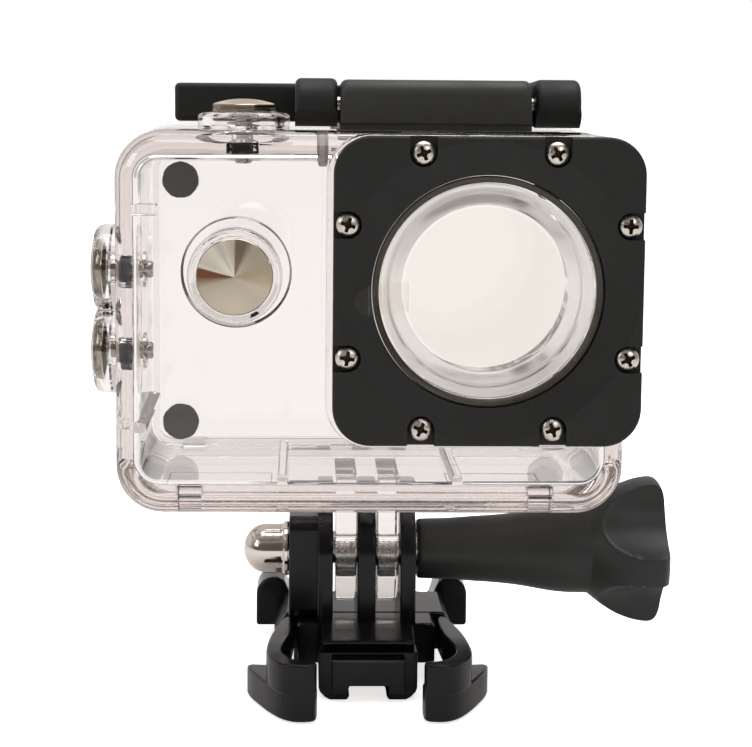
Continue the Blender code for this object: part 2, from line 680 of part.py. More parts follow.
def lens_stack():
    """Window glass, its film, the clear conical ring in front of it and the dark gasket."""
    centre = (LENS_X, 0, LENS_Z)
    outer = LENS_BORE_R - GAP
    glass_back = LENS_SEAT - GAP
    glass_front = glass_back - 1.5
    ring_back = glass_front - GAP
    ring_front = FRAME_BACK - GAP
    glass = rod("lens_glass", "Y", centre, outer, glass_front, glass_back, GLASS, sides=32)
    film = rod("lens_film", "Y", centre, 10.7, ring_back - 0.2, ring_back, GLASS, sides=32)
    cone = turned("lens_ring", "Y", centre, [
        (outer, ring_back), (outer, ring_front), (outer - 0.3, ring_front), (11.1, ring_back - 0.4),
        (11.1, ring_back)], CLEAR, closed=True, sides=32)
    gasket = ring("lens_gasket", "Y", centre, LENS_BORE_R, FRAME_HOLE_R - GAP, FRAME_BACK - 1.2,
                  FRAME_BACK, RUBBER, sides=32)
    return glass, film, cone, gasket


# ---------------------------------------------------------------- door

def back_door():
    """Clear back: a plate with a raised plug that fits the bay, and a bored hinge roll below."""
    door = prism("back_door", rounded_rect(-BODY_HALF, BODY_HALF, BODY_LOW, DOOR_TOP, CORNER_R, 5),
                 "Y", DOOR_Y, DOOR_BACK)
    soften(door, 0.5, 1)
    cut(door, box("door_foot", (-40, 40), (0, 30), (20, HINGE_Z)))
    join(door,
         rod("hinge_roll", "X", (0, HINGE_Y, HINGE_Z), HINGE_R, -32.0, 32.0, sides=20),
         prism("plug", rounded_rect(-30.5, 30.5, 31.8, 73.8, 2.4, 4), "Y", PLUG_FRONT, DOOR_Y + 0.6))
    for side in (-1, 1):
        x0, x1 = sorted(side * x for x in HINGE_EAR_X)
        cut(door, box(f"ear_gap_{side}", (x0 - GAP, x1 + GAP), (8.0, 24.0), (20.0, HINGE_Z + HINGE_R + 0.5)))
    catch = [(DOOR_BACK + 0.5, 76.7), (DOOR_BACK + 0.5, 79.6), (14.8, 79.6)]
    cut(door,
        rod("door_bore", "X", (0, HINGE_Y, HINGE_Z), HINGE_PIN_R + GAP, -40, 40, sides=10),
        prism("catch_slope", catch, "X", -5.3, 22.8))
    return door


def door_seal():
    """Silicone ring round the plug."""
    seal = prism("door_seal", rounded_rect(-31.65, 31.65, 30.65, 74.95, 2.9, 4), "Y", 12.5,
                 RIM_Y, SILICONE)
    cut(seal, prism("seal_hole", rounded_rect(-30.8, 30.8, 31.5, 74.1, 2.1, 4), "Y", 11.0, 15.0))
    return seal


def foam_dots():
    """Four round pads on the plug's corners that press the camera forwards."""
    places = [(x, z) for z in DOT_Z for x in (-DOT_X, DOT_X)]
    back = PLUG_FRONT - GAP
    return [rod(f"foam_dot_{i}", "Y", (x, 0, z), 2.7, back - 0.8, back, FOAM, sides=20)
            for i, (x, z) in enumerate(places, 1)]


# ---------------------------------------------------------------- latch

def latch_base():
    """Black barrel fixed on the top wall by a lug; the lever's pin runs through it."""
    base = prism("latch_base", rounded_rect(-12.2, -4.2, 78.9, 85.5, 2.0, 4), "X", *BARREL_X,
                 MATTE_BLACK)
    soften(base, 0.7, 2)
    join(base, box("latch_lug", (4.4, 8.6), (-10.0, -6.0), (76.7, 80.0)))
    cut(base, rod("latch_bore", "X", (0, PIN_Y, PIN_Z), PIN_R + GAP, -8, 25, sides=12))
    return base


def latch_lever():
    """Lever: two knuckles on the pin, side arms, a cross bar and a finger arm on the left."""
    lever = prism("latch_lever", lever_side(), "X", *LEFT_KNUCKLE_X, MATTE_BLACK)
    soften(lever, 0.7, 2)
    right = soften(prism("lever_right", lever_side(), "X", *RIGHT_KNUCKLE_X), 0.7, 2)
    finger = soften(box("finger_arm", (-28.2, -8.0), (8.5, 14.3), (LEVER_LOW, LEVER_TOP)), 0.7, 2)
    join(lever, box("cross_bar", (-6.0, 23.9), (3.0, 7.2), (LEVER_LOW + 0.2, LEVER_TOP - 0.2)),
         right, finger)
    cut(lever,
        rod("lever_pin_bore", "X", (0, PIN_Y, PIN_Z), PIN_R + GAP, -9.6, 27.8, sides=12),
        rod("hook_pin_bore", "X", (0, HOOK_Y, PIN_Z), PIN_R + GAP, -8.6, 26.8, sides=12))
    return lever


def lever_side():
    """Side view of a lever arm: round at the pin, straight back to a soft end."""
    knuckle = arc((PIN_Y, PIN_Z), KNUCKLE_R, 90, 250, 9)
    heel = arc((12.8, LEVER_LOW + 1.5), 1.5, -90, 0, 3)
    tail = arc((12.3, LEVER_TOP - 2.0), 2.0, 0, 90, 4)
    return knuckle + [(-5.0, LEVER_LOW)] + heel + tail


def latch_hook():
    """Hook across the lever: a roll on its own pin, a roof over the door's edge and a sloped nib."""
    roll = arc((HOOK_Y, PIN_Z), HOOK_R, 90, 270, 9)
    under = PIN_Z - HOOK_R
    back = 19.6
    nib = [(15.15, under), (17.7, 77.41), (back, 77.41), (back, 83.0), (18.3, PIN_Z + HOOK_R)]
    hook = prism("latch_hook", roll + nib, "X", *BARREL_X, MATTE_BLACK)
    cut(hook, rod("hook_bore", "X", (0, HOOK_Y, PIN_Z), PIN_R + GAP, -8, 26, sides=12))
    return hook


# ---------------------------------------------------------------- assembly

buckle = pivot("buckle", (0, 0, 0))
attach(buckle, buckle_base(), cap_nut())
for label, sign in (("left", -1), ("right", 1)):
    root = pivot(f"clip_{label}_root", (sign * CLIP_ROOT[0], CLIP_ROOT[1], 0), buckle)
    attach(root, side_clip(f"clip_{label}", sign))

thumb_screw = pivot("thumb_screw", (0, 0, BOLT_Z), buckle)
attach(thumb_screw, thumb_knob(), clamp_bolt())

housing = pivot("housing", (0, 0, BOLT_Z), buckle)
attach(housing, front_shell(), lens_frame(), *lens_stack())
attach(housing, *[lens_screw(i, x, z) for i, (x, z) in enumerate(lens_screws(), 1)])
attach(housing, latch_base(),
       rod("latch_pin", "X", (0, PIN_Y, PIN_Z), PIN_R, -9.3, 27.5, STEEL, sides=12),
       rod("door_hinge_pin", "X", (0, HINGE_Y, HINGE_Z), HINGE_PIN_R, -31.6, 31.6, STEEL, sides=10))

for button in BUTTONS:
    cap, clip, seal, spring = button_pieces(button)
    guide = pivot(f"{button.name}_guide", button.base(), housing)
    attach(guide, cap, clip)
    attach(housing, seal, spring)

door = pivot("door", (0, HINGE_Y, HINGE_Z), housing)
attach(door, back_door(), door_seal(), *foam_dots())

lever = pivot("lever", (0, PIN_Y, PIN_Z), housing)
attach(lever, latch_lever(),
       rod("hook_pin", "X", (0, HOOK_Y, PIN_Z), PIN_R, -8.3, 26.5, STEEL, sides=12))
hook = pivot("hook", (0, HOOK_Y, PIN_Z), lever)
attach(hook, latch_hook())
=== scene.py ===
"""Looks of a clear waterproof action-camera housing on its quick-release buckle.

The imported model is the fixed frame. Every visible piece is built here as a fine mesh in the place of
its CAD node. Sizes are millimetres until a mesh is made; X is to the viewer's right as the lens side
is faced, Y away from that viewer and Z up, with the origin under the buckle's sole.
"""

import json
from math import atan2, cos, hypot, pi, radians, sin, sqrt

import bmesh
import bpy
from mathutils import Matrix, Vector


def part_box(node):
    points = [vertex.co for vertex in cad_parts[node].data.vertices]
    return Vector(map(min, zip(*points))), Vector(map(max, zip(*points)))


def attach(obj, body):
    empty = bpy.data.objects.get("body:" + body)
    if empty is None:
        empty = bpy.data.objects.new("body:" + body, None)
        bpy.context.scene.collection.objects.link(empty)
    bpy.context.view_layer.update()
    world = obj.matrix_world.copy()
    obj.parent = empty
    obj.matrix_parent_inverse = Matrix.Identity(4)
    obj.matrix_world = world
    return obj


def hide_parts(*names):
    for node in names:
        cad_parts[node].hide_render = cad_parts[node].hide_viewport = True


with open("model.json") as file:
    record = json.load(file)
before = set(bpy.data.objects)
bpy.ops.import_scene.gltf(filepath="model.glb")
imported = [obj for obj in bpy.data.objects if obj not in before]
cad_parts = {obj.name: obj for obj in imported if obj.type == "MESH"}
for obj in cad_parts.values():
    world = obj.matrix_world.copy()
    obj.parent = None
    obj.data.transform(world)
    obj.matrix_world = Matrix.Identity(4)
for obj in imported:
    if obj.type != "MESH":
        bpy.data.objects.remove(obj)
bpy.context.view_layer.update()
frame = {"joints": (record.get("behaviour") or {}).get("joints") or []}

MM = 0.001
SCENE = bpy.context.scene


# -------- measures read from the frame

def extent(node):
    """Low and high corner of a CAD node, in mm."""
    return [[value / MM for value in corner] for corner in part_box(node)]


def low(node):
    return extent(node)[0]


def high(node):
    return extent(node)[1]


def pivot(name):
    """Where a joint's axis passes, in mm."""
    return [value / MM for value in next(j for j in frame["joints"] if j["name"] == name)["pos_m"]]


BOLT_Z = pivot("housing_tilt")[2]
BOLT_BORE_R = 2.8
FINGER_R = 7.5
BODY_HALF, _, DOOR_TOP = high("back_door")
BODY_LOW = low("back_door")[2]
BODY_TOP = DOOR_TOP - 0.5
BODY_CORNER = 6.5
WALL = 3.3
SIDE_WALL = 2.7
RIM_Y = high("door_seal")[1]
FRONT_Y = -18.0
BAY_HALF = BODY_HALF - SIDE_WALL
BAY_LOW = 30.3
BAY_TOP = BODY_TOP - WALL
BAY_FRONT = FRONT_Y + WALL
BAY_CORNER = BODY_CORNER - WALL

FRAME_LO, FRAME_HI = extent("lens_frame")
LENS_X = (FRAME_LO[0] + FRAME_HI[0]) / 2
LENS_Z = (FRAME_LO[2] + FRAME_HI[2]) / 2
LENS = (LENS_X, 0, LENS_Z)
FRAME_HALF = (FRAME_HI[0] - FRAME_LO[0]) / 2
BOSS_FRONT = FRAME_HI[1] + 0.3
GLASS_FRONT, GLASS_BACK = low("lens_glass")[1], high("lens_glass")[1]
HOLE_R = (high("lens_gasket")[0] - low("lens_gasket")[0]) / 2 + 0.3
RING_R = (high("lens_ring")[0] - low("lens_ring")[0]) / 2
WINDOW_R = 11.1
DISHED_R = 19.4

PIN_Y, PIN_Z = pivot("latch_lift")[1:]
HOOK_Y = pivot("latch_hook_swing")[1]
HINGE_Y, HINGE_Z = pivot("door_open")[1:]
KNUCKLE_R = 3.4
PIN_BORE_R = 1.2
HINGE_BORE_R = 1.05
HINGE_ROLL_R = 2.2


# -------- materials

def shader_tree(name):
    """A new material with its main shader, its nodes and its links."""
    made = bpy.data.materials.new(name)
    made.use_nodes = True
    nodes = made.node_tree.nodes
    return made, nodes["Principled BSDF"], nodes, made.node_tree.links


def put(node, **values):
    """Constants on a node's sockets; an underscore stands for a space."""
    for socket, value in values.items():
        node.inputs[socket.replace("_", " ")].default_value = value
    return node


def ramp(nodes, links, source, stops):
    """Colours for a value from 0 to 1, blended between stops of (place, colour)."""
    made = nodes.new("ShaderNodeValToRGB")
    elements = made.color_ramp.elements
    for i in (0, -1):
        elements[i].position = stops[i][0]
        elements[i].color = (*stops[i][1], 1.0)
    for position, colour in stops[1:-1]:
        elements.new(position).color = (*colour, 1.0)
    links.new(source, made.inputs["Fac"])
    return made.outputs["Color"]


def noise(nodes, links, scale, **values):
    """A noise in the object's own space."""
    made = put(nodes.new("ShaderNodeTexNoise"), Scale=scale, **values)
    links.new(nodes.new("ShaderNodeTexCoord").outputs["Object"], made.inputs["Vector"])
    return made.outputs["Fac"]


def grain(nodes, links, shader, scale, strength, distance, detail=4.0):
    """A noise that also bumps the surface."""
    made = noise(nodes, links, scale, Detail=detail, Roughness=0.6)
    bump = put(nodes.new("ShaderNodeBump"), Strength=strength, Distance=distance * MM)
    links.new(made, bump.inputs["Height"])
    links.new(bump.outputs["Normal"], shader.inputs["Normal"])
    return made


def finish_by(nodes, links, shader, sheen, rough, tone, dark, light):
    """Roughness from one noise and colour from another."""
    least, most = 0.35, 0.65
    ranged = put(nodes.new("ShaderNodeMapRange"), From_Min=least, From_Max=most, To_Min=rough[0],
                 To_Max=rough[1])
    links.new(sheen, ranged.inputs["Value"])
    links.new(ranged.outputs["Result"], shader.inputs["Roughness"])
    links.new(ramp(nodes, links, tone, [(least, dark), (most, light)]), shader.inputs["Base Color"])


def moulded(name, dark, light, rough, scale, strength, depth, specular=0.5):
    """Opaque moulded plastic or rubber: fine grain in the surface, patches of uneven sheen."""
    made, shader, nodes, links = shader_tree(name)
    tone = grain(nodes, links, shader, scale, strength, depth)
    patches = noise(nodes, links, 180.0, Detail=5.0)
    finish_by(nodes, links, shader, patches, rough, tone, dark, light)
    shader.inputs["Specular IOR Level"].default_value = specular
    return made


def metal(name, dark, light, rough, scale, strength):
    """Bare or plated metal with fine tooling marks and uneven polish."""
    made, shader, nodes, links = shader_tree(name)
    shader.inputs["Metallic"].default_value = 1.0
    tone = grain(nodes, links, shader, scale, strength, 0.01)
    finish_by(nodes, links, shader, tone, rough, tone, dark, light)
    return made


def spun_metal(name):
    """Spun metal: radial turning marks stretch the sheen out from the middle; the wedges of tone round the
    middle are painted reflections.
    """
    made, shader, nodes, links = shader_tree(name)
    put(shader, Metallic=1.0, Roughness=0.42, Anisotropic=0.7)
    marks = nodes.new("ShaderNodeTangent")
    marks.direction_type = "RADIAL"
    marks.axis = "Z"
    links.new(marks.outputs["Tangent"], shader.inputs["Tangent"])
    fan = nodes.new("ShaderNodeTexGradient")
    fan.gradient_type = "RADIAL"
    links.new(nodes.new("ShaderNodeTexCoord").outputs["Object"], fan.inputs["Vector"])
    # colours of the painted reflections on the cap's face
    beige, gold, silver = (0.53, 0.465, 0.375), (0.48, 0.40, 0.28), (0.86, 0.80, 0.70)
    brown, red_brown_reflection = (0.30, 0.22, 0.17), (0.22, 0.095, 0.06)
    # painted reflections: wedges of tone in turns, anticlockwise from the cap's left
    painted_reflection_wedges = [(0.0, red_brown_reflection), (0.02, (0.34, 0.25, 0.18)), (0.05, beige), (0.44, beige), (0.47, gold),
              (0.53, gold), (0.60, (0.56, 0.49, 0.38)), (0.66, (0.6, 0.53, 0.43)), (0.70, brown),
              (0.745, (0.34, 0.26, 0.21)), (0.752, silver), (0.80, (0.92, 0.85, 0.73)),
              (0.825, (0.66, 0.64, 0.56)), (0.86, silver), (0.935, (0.74, 0.67, 0.56)), (0.955, silver),
              (0.963, red_brown_reflection), (1.0, red_brown_reflection)]
    links.new(ramp(nodes, links, fan.outputs["Fac"], painted_reflection_wedges), shader.inputs["Base Color"])
    return made


def clear(name, colour, ior, rough, ripple, density=0.0):
    """Clear plastic or glass with a faint ripple; light passes it, and thick walls dim it slightly."""
    made, shader, nodes, links = shader_tree(name)
    put(shader, Base_Color=(*colour, 1.0), Roughness=rough, IOR=ior, Transmission_Weight=1.0)
    grain(nodes, links, shader, 90.0, ripple, 0.05, detail=2.0)
    # light falls through it as through a tinted pane
    pane = put(nodes.new("ShaderNodeBsdfTransparent"), Color=(0.93, 0.91605, 0.90675, 1.0))
    mix = nodes.new("ShaderNodeMixShader")
    links.new(nodes.new("ShaderNodeLightPath").outputs["Is Shadow Ray"], mix.inputs["Fac"])
    links.new(shader.outputs["BSDF"], mix.inputs[1])
    links.new(pane.outputs["BSDF"], mix.inputs[2])
    links.new(mix.outputs["Shader"], nodes["Material Output"].inputs["Surface"])
    if density:
        depth = put(nodes.new("ShaderNodeVolumeAbsorption"), Color=(0.62, 0.45, 0.40, 1.0), Density=density)
        links.new(depth.outputs["Volume"], nodes["Material Output"].inputs["Volume"])
    return made


CLEAR = clear("clear_polycarbonate", (0.985, 0.972, 0.964), 1.52, 0.008, 0.012, 14.0)
CLEAR_DOOR = clear("clear_door", (0.985, 0.972, 0.966), 1.5, 0.008, 0.008, 10.0)
FROSTED = clear("frosted_rib", (0.80, 0.775, 0.76), 1.5, 0.55, 0.05)
CLEAR_RING = clear("clear_ring", (0.998, 0.992, 0.982), 1.32, 0.30, 0.02)
GLASS = clear("window_glass", (0.992, 0.992, 0.982), 1.46, 0.0, 0.0)
FILM = clear("protective_film", (0.95, 0.935, 0.89), 1.15, 0.12, 0.1)
SILICONE = clear("silicone", (0.95, 0.94, 0.93), 1.35, 0.35, 0.1)
MATTE = moulded("matte_black", (0.009, 0.009, 0.0088), (0.014, 0.014, 0.0135), (0.5, 0.6),
                5200.0, 0.3, 0.03, 0.28)
GLOSS = moulded("gloss_black", (0.0035, 0.0035, 0.004), (0.005, 0.005, 0.0055), (0.16, 0.26),
                1200.0, 0.05, 0.02, 0.24)
BARREL = moulded("barrel_black", (0.025, 0.025, 0.024), (0.036, 0.036, 0.034), (0.45, 0.55),
                 5200.0, 0.3, 0.03, 0.35)
SATIN = moulded("satin_black", (0.013, 0.014, 0.0138), (0.02, 0.021, 0.0205), (0.4, 0.5),
                4200.0, 0.25, 0.03, 0.35)
RUBBER = moulded("black_rubber", (0.0012, 0.0018, 0.0032), (0.003, 0.004, 0.007), (0.45, 0.6),
                 1500.0, 0.2, 0.02, 0.12)
GASKET = moulded("gasket", (0.02, 0.015, 0.009), (0.034, 0.026, 0.016), (0.3, 0.45), 1200.0, 0.2, 0.02)
FOAM = moulded("dark_foam", (0.005, 0.003, 0.0025), (0.012, 0.0075, 0.006), (0.9, 1.0),
               3800.0, 0.9, 0.08, 0.04)
NICKEL = metal("nickel_screw", (0.50, 0.46, 0.41), (0.68, 0.63, 0.57), (0.24, 0.40), 1800.0, 0.15)
RECESS = metal("recess_shadow", (0.020, 0.015, 0.009), (0.055, 0.042, 0.028), (0.5, 0.7), 1800.0, 0.2)
STEEL = metal("bright_steel", (0.52, 0.50, 0.48), (0.68, 0.66, 0.63), (0.18, 0.3), 1500.0, 0.12)
NUT = metal("polished_nut", (0.60, 0.55, 0.51), (0.68, 0.63, 0.58), (0.05, 0.12), 500.0, 0.05)
SPUN = spun_metal("spun_cap")
# polished metal for the caps' sides: the polish is real, and its darker tone than the cap's face is painted
# shade
CAP_SIDE_WITH_PAINTED_SHADE = metal("polished_cap_side_painted_shade", (0.30, 0.26, 0.21), (0.42, 0.37, 0.31), (0.10, 0.22), 1200.0, 0.1)


# -------- mesh tools

FACING = {  # where an outline's two values and its thickness point
    "X": Matrix(((0, 0, 1), (1, 0, 0), (0, 1, 0))).to_4x4(),
    "Y": Matrix(((1, 0, 0), (0, 0, -1), (0, 1, 0))).to_4x4(),
    "Z": Matrix.Identity(4),
}
DIRECTION = {"X": Vector((1, 0, 0)), "Y": Vector((0, 1, 0)), "Z": Vector((0, 0, 1))}


def new_object(name, data):
    obj = bpy.data.objects.new(name, data)
    SCENE.collection.objects.link(obj)
    return obj


def linked(work, weld=True):
    """A finished bmesh as an object of the scene, its normals outwards."""
    if weld:
        bmesh.ops.remove_doubles(work, verts=work.verts, dist=0.001 * MM)
    bmesh.ops.recalc_face_normals(work, faces=work.faces)
    mesh = bpy.data.meshes.new("piece")
    work.to_mesh(mesh)
    work.free()
    return new_object("piece", mesh)


def evaluated_mesh(obj):
    seen = obj.evaluated_get(bpy.context.evaluated_depsgraph_get())
    return bpy.data.meshes.new_from_object(seen)


def apply(obj):
    """Replaces an object's mesh by its evaluated one."""
    mesh = evaluated_mesh(obj)
    obj.modifiers.clear()
    obj.data = mesh
    return obj


def smooth(obj, angle):
    """Smooth shading whose normals follow the larger faces, so that flat walls stay flat."""
    obj.data.shade_smooth()
    obj.data.set_sharp_from_angle(angle=radians(angle))
    weighted = obj.modifiers.new("normals", "WEIGHTED_NORMAL")
    weighted.mode = "FACE_AREA"
    weighted.weight = 100
    weighted.keep_sharp = True
    return apply(obj)


def soften_above(obj, width, height):
    """Rounds the sharp edges that lie above a height, and leaves those below it crisp."""
    work = bmesh.new()
    work.from_mesh(obj.data)
    edges = [e for e in work.edges if len(e.link_faces) == 2 and e.calc_face_angle() > radians(50)
             and min(v.co.z for v in e.verts) > height * MM]
    bmesh.ops.bevel(work, geom=edges, offset=width * MM, segments=5, profile=0.5, affect="EDGES",
                    clamp_overlap=False)
    work.to_mesh(obj.data)
    work.free()
    return obj


def soften(obj, width, segments=3):
    """Rounds the edges sharper than 50 degrees; a width of 0 leaves them."""
    if not width:
        return obj
    bevel = obj.modifiers.new("edges", "BEVEL")
    bevel.width = width * MM
    bevel.segments = segments
    bevel.limit_method = "ANGLE"
    bevel.angle_limit = radians(50)
    return apply(obj)


def arc(centre, radius, start, end, count):
    """Points on an arc, both ends included; degrees."""
    step = (end - start) / (count - 1)
    angles = [radians(start + step * i) for i in range(count)]
    return [(centre[0] + radius * cos(a), centre[1] + radius * sin(a)) for a in angles]


def rounded_rect(u0, u1, v0, v1, radius, count=9):
    """Outline of a rectangle with round corners, anticlockwise."""
    corners = ((u1 - radius, v0 + radius, -90), (u1 - radius, v1 - radius, 0),
               (u0 + radius, v1 - radius, 90), (u0 + radius, v0 + radius, 180))
    points = []
    for u, v, start in corners:
        points += arc((u, v), radius, start, start + 90, count)
    return points


def mirrored_x(outline):
    return [(-u, v) for u, v in reversed(outline)]


def prism(outline, axis, start, end, edge=0.0, segments=3):
    """A flat outline, (Y, Z), (X, Z) or (X, Y), given thickness along an axis; edge rounds its rims."""
    work = bmesh.new()
    face = work.faces.new([work.verts.new((u * MM, v * MM, 0.0)) for u, v in outline])
    grown = bmesh.ops.extrude_face_region(work, geom=[face])
    verts = [item for item in grown["geom"] if isinstance(item, bmesh.types.BMVert)]
    bmesh.ops.translate(work, vec=(0, 0, (end - start) * MM), verts=verts)
    # the outline's third direction is -Y for axis Y, so its thickness starts at the far end
    origin = end if axis == "Y" else start
    place = Matrix.Translation(DIRECTION[axis] * (origin * MM)) @ FACING[axis]
    bmesh.ops.transform(work, matrix=place, verts=work.verts)
    return soften(linked(work), edge, segments)


def block(x, y, z, edge=0.0, segments=3):
    """A box from low to high along each axis, with rounded edges."""
    work = bmesh.new()
    bmesh.ops.create_cube(work, size=1.0)
    bmesh.ops.scale(work, vec=[(s[1] - s[0]) * MM for s in (x, y, z)], verts=work.verts)
    bmesh.ops.translate(work, vec=[(s[1] + s[0]) / 2 * MM for s in (x, y, z)], verts=work.verts)
    return soften(linked(work), edge, segments)


def placed(axis, centre, outward=1):
    """From a solid turned about local Z to a line along axis through centre, in mm."""
    turn = Vector((0, 0, 1)).rotation_difference(DIRECTION[axis] * outward).to_matrix().to_4x4()
    return Matrix.Translation(Vector(centre) * MM) @ turn


def skin(work, rings, sides):
    """Faces between each ring of vertices and the next; a ring may be one point."""
    for a, b in zip(rings, rings[1:]):
        for i in range(sides):
            j = (i + 1) % sides
            corners = [a[i % len(a)], a[j % len(a)], b[j % len(b)], b[i % len(b)]]
            unique = list(dict.fromkeys(corners))
            if len(unique) > 2:
                work.faces.new(unique)


def lathe(axis, centre, profile, closed=False, outward=1, sides=64):
    """A profile of (radius, distance) turned about the line; a radius of 0 closes it to a point."""
    work = bmesh.new()
    rings = []
    for radius, height in profile:
        if radius <= 1e-6:
            rings.append([work.verts.new((0, 0, height * MM))])
            continue
        turns = [2 * pi * i / sides for i in range(sides)]
        rings.append([work.verts.new((radius * MM * cos(t), radius * MM * sin(t), height * MM))
                      for t in turns])
    skin(work, rings + rings[:1] if closed else rings, sides)
    bmesh.ops.transform(work, matrix=placed(axis, centre, outward), verts=work.verts)
    return linked(work)


def rod(axis, centre, radius, start, end, sides=48, edge=0.0):
    """A plain cylinder with flat, single-face ends, optionally with softened rims."""
    work = bmesh.new()
    bmesh.ops.create_cone(work, cap_ends=True, segments=sides, radius1=radius * MM,
                          radius2=radius * MM, depth=abs(end - start) * MM)
    middle = list(centre)
    middle["XYZ".index(axis)] = (start + end) / 2
    bmesh.ops.transform(work, matrix=placed(axis, middle), verts=work.verts)
    return soften(linked(work), edge)


def swept(stations, sides, radius_at, first_turn):
    """A bar along X on the bolt's line, whose radius depends on the station and on the turn about X."""
    work = bmesh.new()
    rings = []
    for x in stations:
        ring = []
        for i in range(sides):
            turn = 2 * pi * i / sides
            radius = radius_at(x, turn)
            ring.append(work.verts.new(Vector((x, first_turn * radius * cos(turn),
                                               BOLT_Z + radius * sin(turn))) * MM))
        rings.append(ring)
    skin(work, rings, sides)
    work.faces.new(rings[0])
    work.faces.new(rings[-1])
    return linked(work)


def combine(target, tools, operation):
    """One exact Boolean with several tools, applied, after which the tools are gone."""
    group = bpy.data.collections.new("tools")
    for tool in tools:
        group.objects.link(tool)
    step = target.modifiers.new("step", "BOOLEAN")
    step.operation = operation
    step.solver = "EXACT"
    step.operand_type = "COLLECTION"
    step.collection = group
    apply(target)
    for tool in tools:
        bpy.data.objects.remove(tool, do_unlink=True)
    bpy.data.collections.remove(group)


def cut(target, *tools):
    combine(target, tools, "DIFFERENCE")


def join(target, *tools):
    combine(target, tools, "UNION")


def show(obj, name, body, node, finish, angle=30):
    """Gives a piece its name, finish, body and material slot, and hides the CAD node that it stands for."""
    obj.name = name
    obj.data.materials.clear()
    obj.data.materials.append(finish)
    for polygon in obj.data.polygons:
        polygon.material_index = 0
    smooth(obj, angle)
    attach(obj, body)
    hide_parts(node)


def second_finish(obj, finish, chosen):
    """Gives the faces that chosen picks a finish of their own."""
    obj.data.materials.append(finish)
    for face in obj.data.polygons:
        if chosen(face):
            face.material_index = 1


# -------- buttons

class Button:
    """Where a button is, and the distances of its parts outwards from the wall's outer surface."""

    def __init__(self, name, axis, outward, surface, collar_r, collar_top, floor, boss, dome, lip):
        lo, hi = extent(name)
        index = "XYZ".index(axis)
        self.name, self.axis, self.outward = name, axis, outward
        self.centre = [(a + b) / 2 for a, b in zip(lo, hi)]
        self.centre[index] = surface
        self.place = placed(axis, self.centre, outward)
        self.cap_r = max(hi[i] - lo[i] for i in range(3) if i != index) / 2
        self.cap_top = abs((hi if outward > 0 else lo)[index] - surface)
        self.collar_r, self.collar_top, self.floor, self.boss = collar_r, collar_top, floor, boss
        self.dome, self.lip = dome, lip

    def lathe(self, profile, closed=False):
        return lathe(self.axis, self.centre, profile, closed, self.outward)


ON_SIDE = ("X", -1, -BODY_HALF, 6.25, 3.9, 1.2, SIDE_WALL, 0.5, 1.6)
BUTTONS = [
    Button("front_button", "Y", -1, FRONT_Y, 6.3, 4.1, 0.6, 5.3, 0.35, 0.8),
    Button("shutter_button", "Z", 1, BODY_TOP, 6.55, 2.2, 0.0, WALL, 0.75, 0.8),
    Button("side_button_upper", *ON_SIDE),
    Button("side_button_lower", *ON_SIDE),
]
STEM_R = 1.2
SEAL_DEPTH = 2.3
SEAL_BORE_R = 2.36  # a little less than the seal's outer radius, which presses into the wall


def collar(b):
    """Solid clear collar with a rounded mouth, joined to the wall."""
    mouth = arc((b.collar_r - b.lip, b.collar_top - b.lip), b.lip, 10, 90, 8)
    return b.lathe([(0.0, -1.5), (b.collar_r, -1.5), (b.collar_r, b.collar_top - b.lip), *mouth,
                    (0.0, b.collar_top)])


def well(b):
    """Everything cut away along the button's axis: well, stem hole and seal bore."""
    bore, stem, seat = b.cap_r + 0.3, STEM_R + 0.3, SEAL_DEPTH - b.boss
    return b.lathe([
        (0.0, 9.0), (bore + 3.0, 9.0), (bore + 0.5, b.collar_top + 0.01), (bore, b.collar_top - 0.5),
        (bore, b.floor + 0.3), (bore - 0.3, b.floor), (stem, b.floor), (stem, seat),
        (SEAL_BORE_R, seat), (SEAL_BORE_R, -b.boss - 2.0), (0.0, -b.boss - 2.0)])


def coil(b, start, end):
    """A compression spring along the button's axis."""
    radius, turns, wire = 2.25, 2, 0.15
    steps = 24 * turns
    curve = bpy.data.curves.new("coil", "CURVE")
    curve.dimensions = "3D"
    curve.bevel_depth = wire * MM
    curve.bevel_resolution = 3
    curve.use_fill_caps = True
    spline = curve.splines.new("POLY")
    spline.points.add(steps)
    for i, point in enumerate(spline.points):
        angle = 2 * pi * turns * i / steps
        height = start + (end - start) * i / steps
        point.co = (radius * MM * cos(angle), radius * MM * sin(angle), height * MM, 1.0)
    source = new_object("coil", curve)
    work = bmesh.new()
    work.from_mesh(evaluated_mesh(source))
    bpy.data.objects.remove(source, do_unlink=True)
    bmesh.ops.transform(work, matrix=b.place, verts=work.verts)
    return linked(work)


